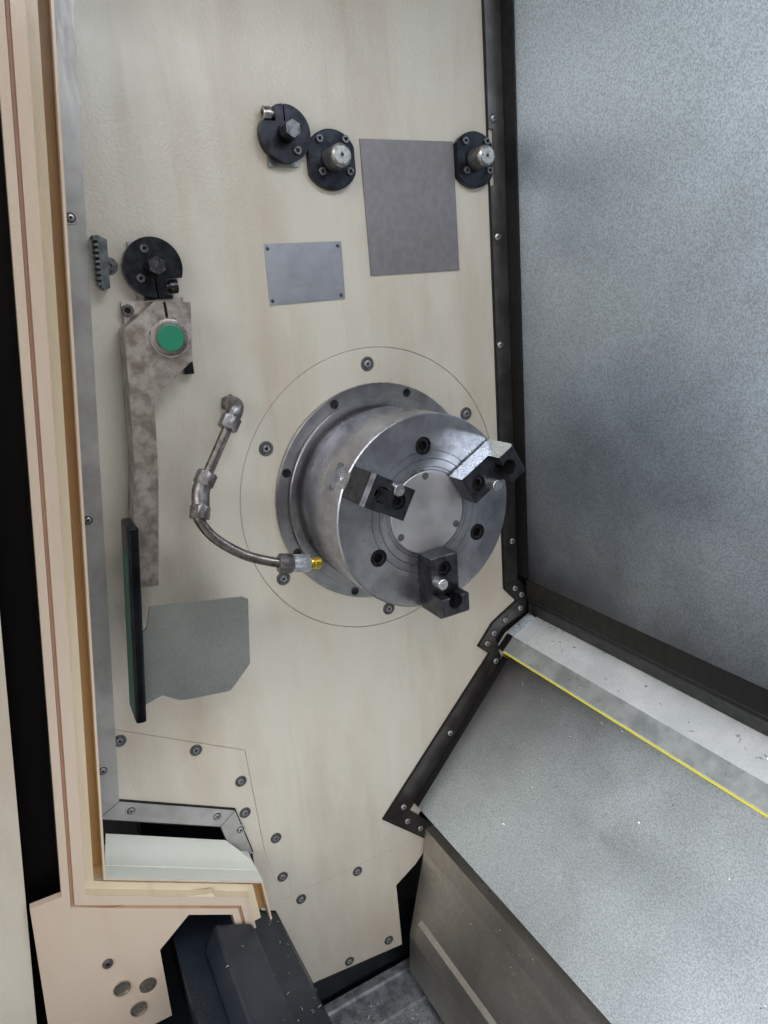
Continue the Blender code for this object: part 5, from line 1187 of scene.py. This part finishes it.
def add_vented_door(work, backs, face, u, v, thick, vents):
    """A sheet door with louvres in ranges up it, and black cloth filters behind them."""
    margin = LOUVRE_MARGIN * (u[1] - u[0])
    inner = (u[0] + margin, u[1] - margin)
    levels = [v[0], *[edge for vent in vents for edge in vent], v[1]]
    for span in zip(levels[::2], levels[1::2]):
        add_slab(work, face, u, span, (0.0, thick))
    for low, high in vents:
        for side in ((u[0], inner[0]), (inner[1], u[1])):
            add_slab(work, face, side, (low, high), (0.0, thick))
        count = int((high - low) / LOUVRE_PITCH)
        for step in range(count):
            foot = low + (step + 0.25) * (high - low) / count
            add_slab(work, face, inner, (foot, foot + LOUVRE_PITCH * 0.55), (0.0, thick * 0.8))
        add_slab(backs, face, inner, (low, high), (-0.0005, 0.0002))


filters = bmesh.new()
rear = bmesh.new()
add_slab(rear, REAR_FACE, (-1.0, RIGHT_X), (-1.06, 0.9457), (-0.002, 0.0))
rear_edges = (-1.0, -0.26, 0.48, 1.22, RIGHT_X)
for number, (start, end) in enumerate(zip(rear_edges, rear_edges[1:])):
    span = (start + DOOR_GAP, end - DOOR_GAP)
    low_vents = () if number % 2 else ((-0.95, -0.72),)
    high_vents = ((0.52, 0.8),) if number % 2 else ()
    for rows, vents in (((-1.058, -0.422), low_vents), ((-0.418, 0.9437), high_vents)):
        add_vented_door(rear, filters, REAR_FACE, span, rows, 0.002, vents)
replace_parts(finish_piece("rear_doors", rear, cabinet_paint, angle=20.0), "rear_panel")

side_doors = bmesh.new()
for span in ((0.12, 0.52), (0.525, 0.93)):
    add_vented_door(side_doors, filters, RIGHT_FACE, span, (-0.98, 0.86), 0.012, ((-0.88, -0.6), (0.5, 0.74)))
finish_piece("right_end_doors", side_doors, cabinet_paint, angle=20.0)
finish_piece("louvre_filters", filters, rubber, angle=20.0)
LOCK = (
    (0.017, 0.0), (0.017, 0.003), (0.015, 0.0045), (0.0085, 0.0048), (0.008, 0.003), (0.006, 0.003, "hex"),
    (0.0055, 0.005, "hex"),
)
lock_places = [at(SWITCH_X, y, z) for y in (0.495, 0.905) for z in (-0.45, 0.0, 0.35)]
turned_set("right_door_locks", LOCK, lock_places, knob_steel, sides=32)


# Main switch: a red moulded handle on a yellow plastic plate.
# Two screws from inside hold it to the front one of the right end doors.
def slab_piece(name, face, blocks, material, body="machine"):
    """Flat blocks on an upright face, as one piece of their own."""
    work = bmesh.new()
    for u, v, n in blocks:
        add_slab(work, face, u, v, n)
    finish_piece(name, work, material, body, 20.0)


red_plastic = plain_finish("red push head", "#b31a14", 0.32)
slab_piece(
    "main_switch_plate", (at(SWITCH_X, 0.0, 0.0), *RIGHT_FACE[1:]),
    [((0.28, 0.36), (0.2, 0.28), (0.0, 0.006))],
    plain_finish("yellow switch plate", "#d8b21c", 0.4),
)
switch_work = bmesh.new()
add_turned(
    switch_work, ((0.03, 0.0), (0.03, 0.01), (0.026, 0.014), (0.02, 0.016)),
    at(RIGHT_X + 0.0176, 0.32, 0.24), (1, 0, 0), 0.0, 32,
)
handle_face = (at(RIGHT_X + 0.03, 0.32, 0.24), *RIGHT_FACE[1:])
add_slab(switch_work, handle_face, (-0.007, 0.007), (-0.026, 0.026), (0.0, 0.02))
finish_piece("main_switch_handle", switch_work, red_plastic, angle=30.0)


# Conveyor drive: a gear motor with a cast, ribbed housing, sprayed with grey enamel.
# It is flanged to the side of the rising outlet and turns the belt's upper shaft.
motor_paint = painted("grey motor enamel", "#5d6266", "#44484b", 0.4, 0.45, 0.003)
RIB_PITCH = 0.012
motor_rings = [(0.06, 0.0), (0.06, 0.014), (0.046, 0.016), (0.046, 0.05)]
for step in range(9):
    root = 0.052 + RIB_PITCH * step
    motor_rings += [(0.05, root), (0.056, root + 0.001), (0.056, root + 0.005), (0.05, root + 0.006)]
motor_rings += [(0.054, 0.164), (0.054, 0.186), (0.046, 0.194), (0.02, 0.196)]
turned_set(
    "conveyor_motor", motor_rings, [at(2.5, -0.199, -0.19)], motor_paint, direction=(0, -1, 0),
    sides=40,
)


# Levelling feet: turned steel pads with threaded studs.
# They carry the bed's rear edge and are set with a wrench while the machine is levelled.
FOOT = ((0.055, 0.0), (0.055, 0.01), (0.04, 0.016), (0.014, 0.018), (0.014, 0.052), (0.012, 0.056))
foot_places = [at(x, 0.8, -1.1) for x in (-0.8, 0.05, 0.9, 1.75)]
turned_set("levelling_feet", FOOT, foot_places, stud_steel, direction=(0, 0, 1), sides=32)


# Sliding door: enamelled sheet door with a laminated pane, held by a black rubber gasket.
# The gasket is one moulded section, pressed over the pane's edge all round.
window_glass, _, _ = new_finish(
    "laminated door pane",
    {"Base Color": linear("#dfe9e6"), "Roughness": 0.03, "Transmission Weight": 0.9, "IOR": 1.5},
)
dress(window_glass, "door_window")
PANE_LOW = Vector((-0.5409, -0.1403))
PANE_HIGH = Vector((-0.442, 0.5722))
PANE_SIDES = (1.1412, 1.7888)
door_out = Vector((-math.cos(LEAN), math.sin(LEAN)))
door_up = (PANE_HIGH - PANE_LOW).normalized()
GASKET = 0.012
gasket = bmesh.new()


def gasket_bar(low, high, x_range):
    """A length of gasket, as wide as its section, between two places on the pane's face."""
    low, high = low - door_up * GASKET / 2, high + door_up * GASKET / 2
    front, back = door_out * 0.0045, door_out * 0.004
    add_prism(gasket, (low + front, high + front, high - back, low - back), x_range)


for x in PANE_SIDES:
    gasket_bar(PANE_LOW, PANE_HIGH, (x - GASKET / 2, x + GASKET / 2))
for middle in (PANE_LOW, PANE_HIGH):
    gasket_bar(middle, middle, (PANE_SIDES[0] + GASKET / 2, PANE_SIDES[1] - GASKET / 2))
finish_piece("pane_gasket", gasket, rubber, "door", 30.0)


# Control box: powder-coated housing that hangs from the roof, with a screen and rows of keys.
# The red stop button stands at its lower corner; two knurled knobs set speed and feed.
control_paint = painted("powder-coated housing", "#6d7073", "#5b5e61", 0.4, 0.5, 0.0016)
dress(control_paint, "control_box")
dress(red_plastic, "emergency_stop")
CONTROL_Y = -0.655
CONTROL_FACE = (at(0.0, CONTROL_Y, 0.0), Vector((1, 0, 0)), Vector((0, -1, 0)))
KEY_PITCH = 0.0285
bezel_plastic = plain_finish("black screen bezel", "#17181a", 0.5)
slab_piece("screen_bezel", CONTROL_FACE, [
    (u, v, (-0.001, 0.004)) for u, v in (
        ((1.51, 1.84), (0.298, 0.316)), ((1.51, 1.84), (0.532, 0.55)),
        ((1.51, 1.528), (0.316, 0.532)), ((1.822, 1.84), (0.316, 0.532)),
    )
], bezel_plastic, "control")
screen_glass, _, _ = new_finish(
    "dark screen glass", {"Base Color": linear("#10161c"), "Roughness": 0.08, "IOR": 1.5, "Coat Weight": 0.6}
)
screen_block = ((1.527, 1.823), (0.315, 0.533), (-0.001, 0.0015))
slab_piece("control_screen", CONTROL_FACE, [screen_block], screen_glass, "control")
key_blocks = []
for row in range(6):
    for column in (0, 1, 2, 3, 4, 5, 7, 8, 9, 10):
        left = 1.52 + column * KEY_PITCH
        low = 0.102 + row * KEY_PITCH
        key_blocks.append(((left, left + 0.021), (low, low + 0.02), (-0.001, 0.002)))
        key_blocks.append(((left + 0.0015, left + 0.0195), (low + 0.0015, low + 0.0185), (0.002, 0.0032)))
key_plastic = plain_finish("pale key caps", "#b9bbb8", 0.5)
slab_piece("control_keys", CONTROL_FACE, key_blocks, key_plastic, "control")
KNOB = ((0.021, 0.0), (0.021, 0.003), (0.017, 0.004), (0.016, 0.016), (0.013, 0.018))
turned_set(
    "control_knobs", KNOB, [at(x, CONTROL_Y, 0.025) for x in (1.545, 1.625, 1.705)], bezel_plastic,
    "control", direction=(0, -1, 0), sides=32,
)

bpy.context.view_layer.update()
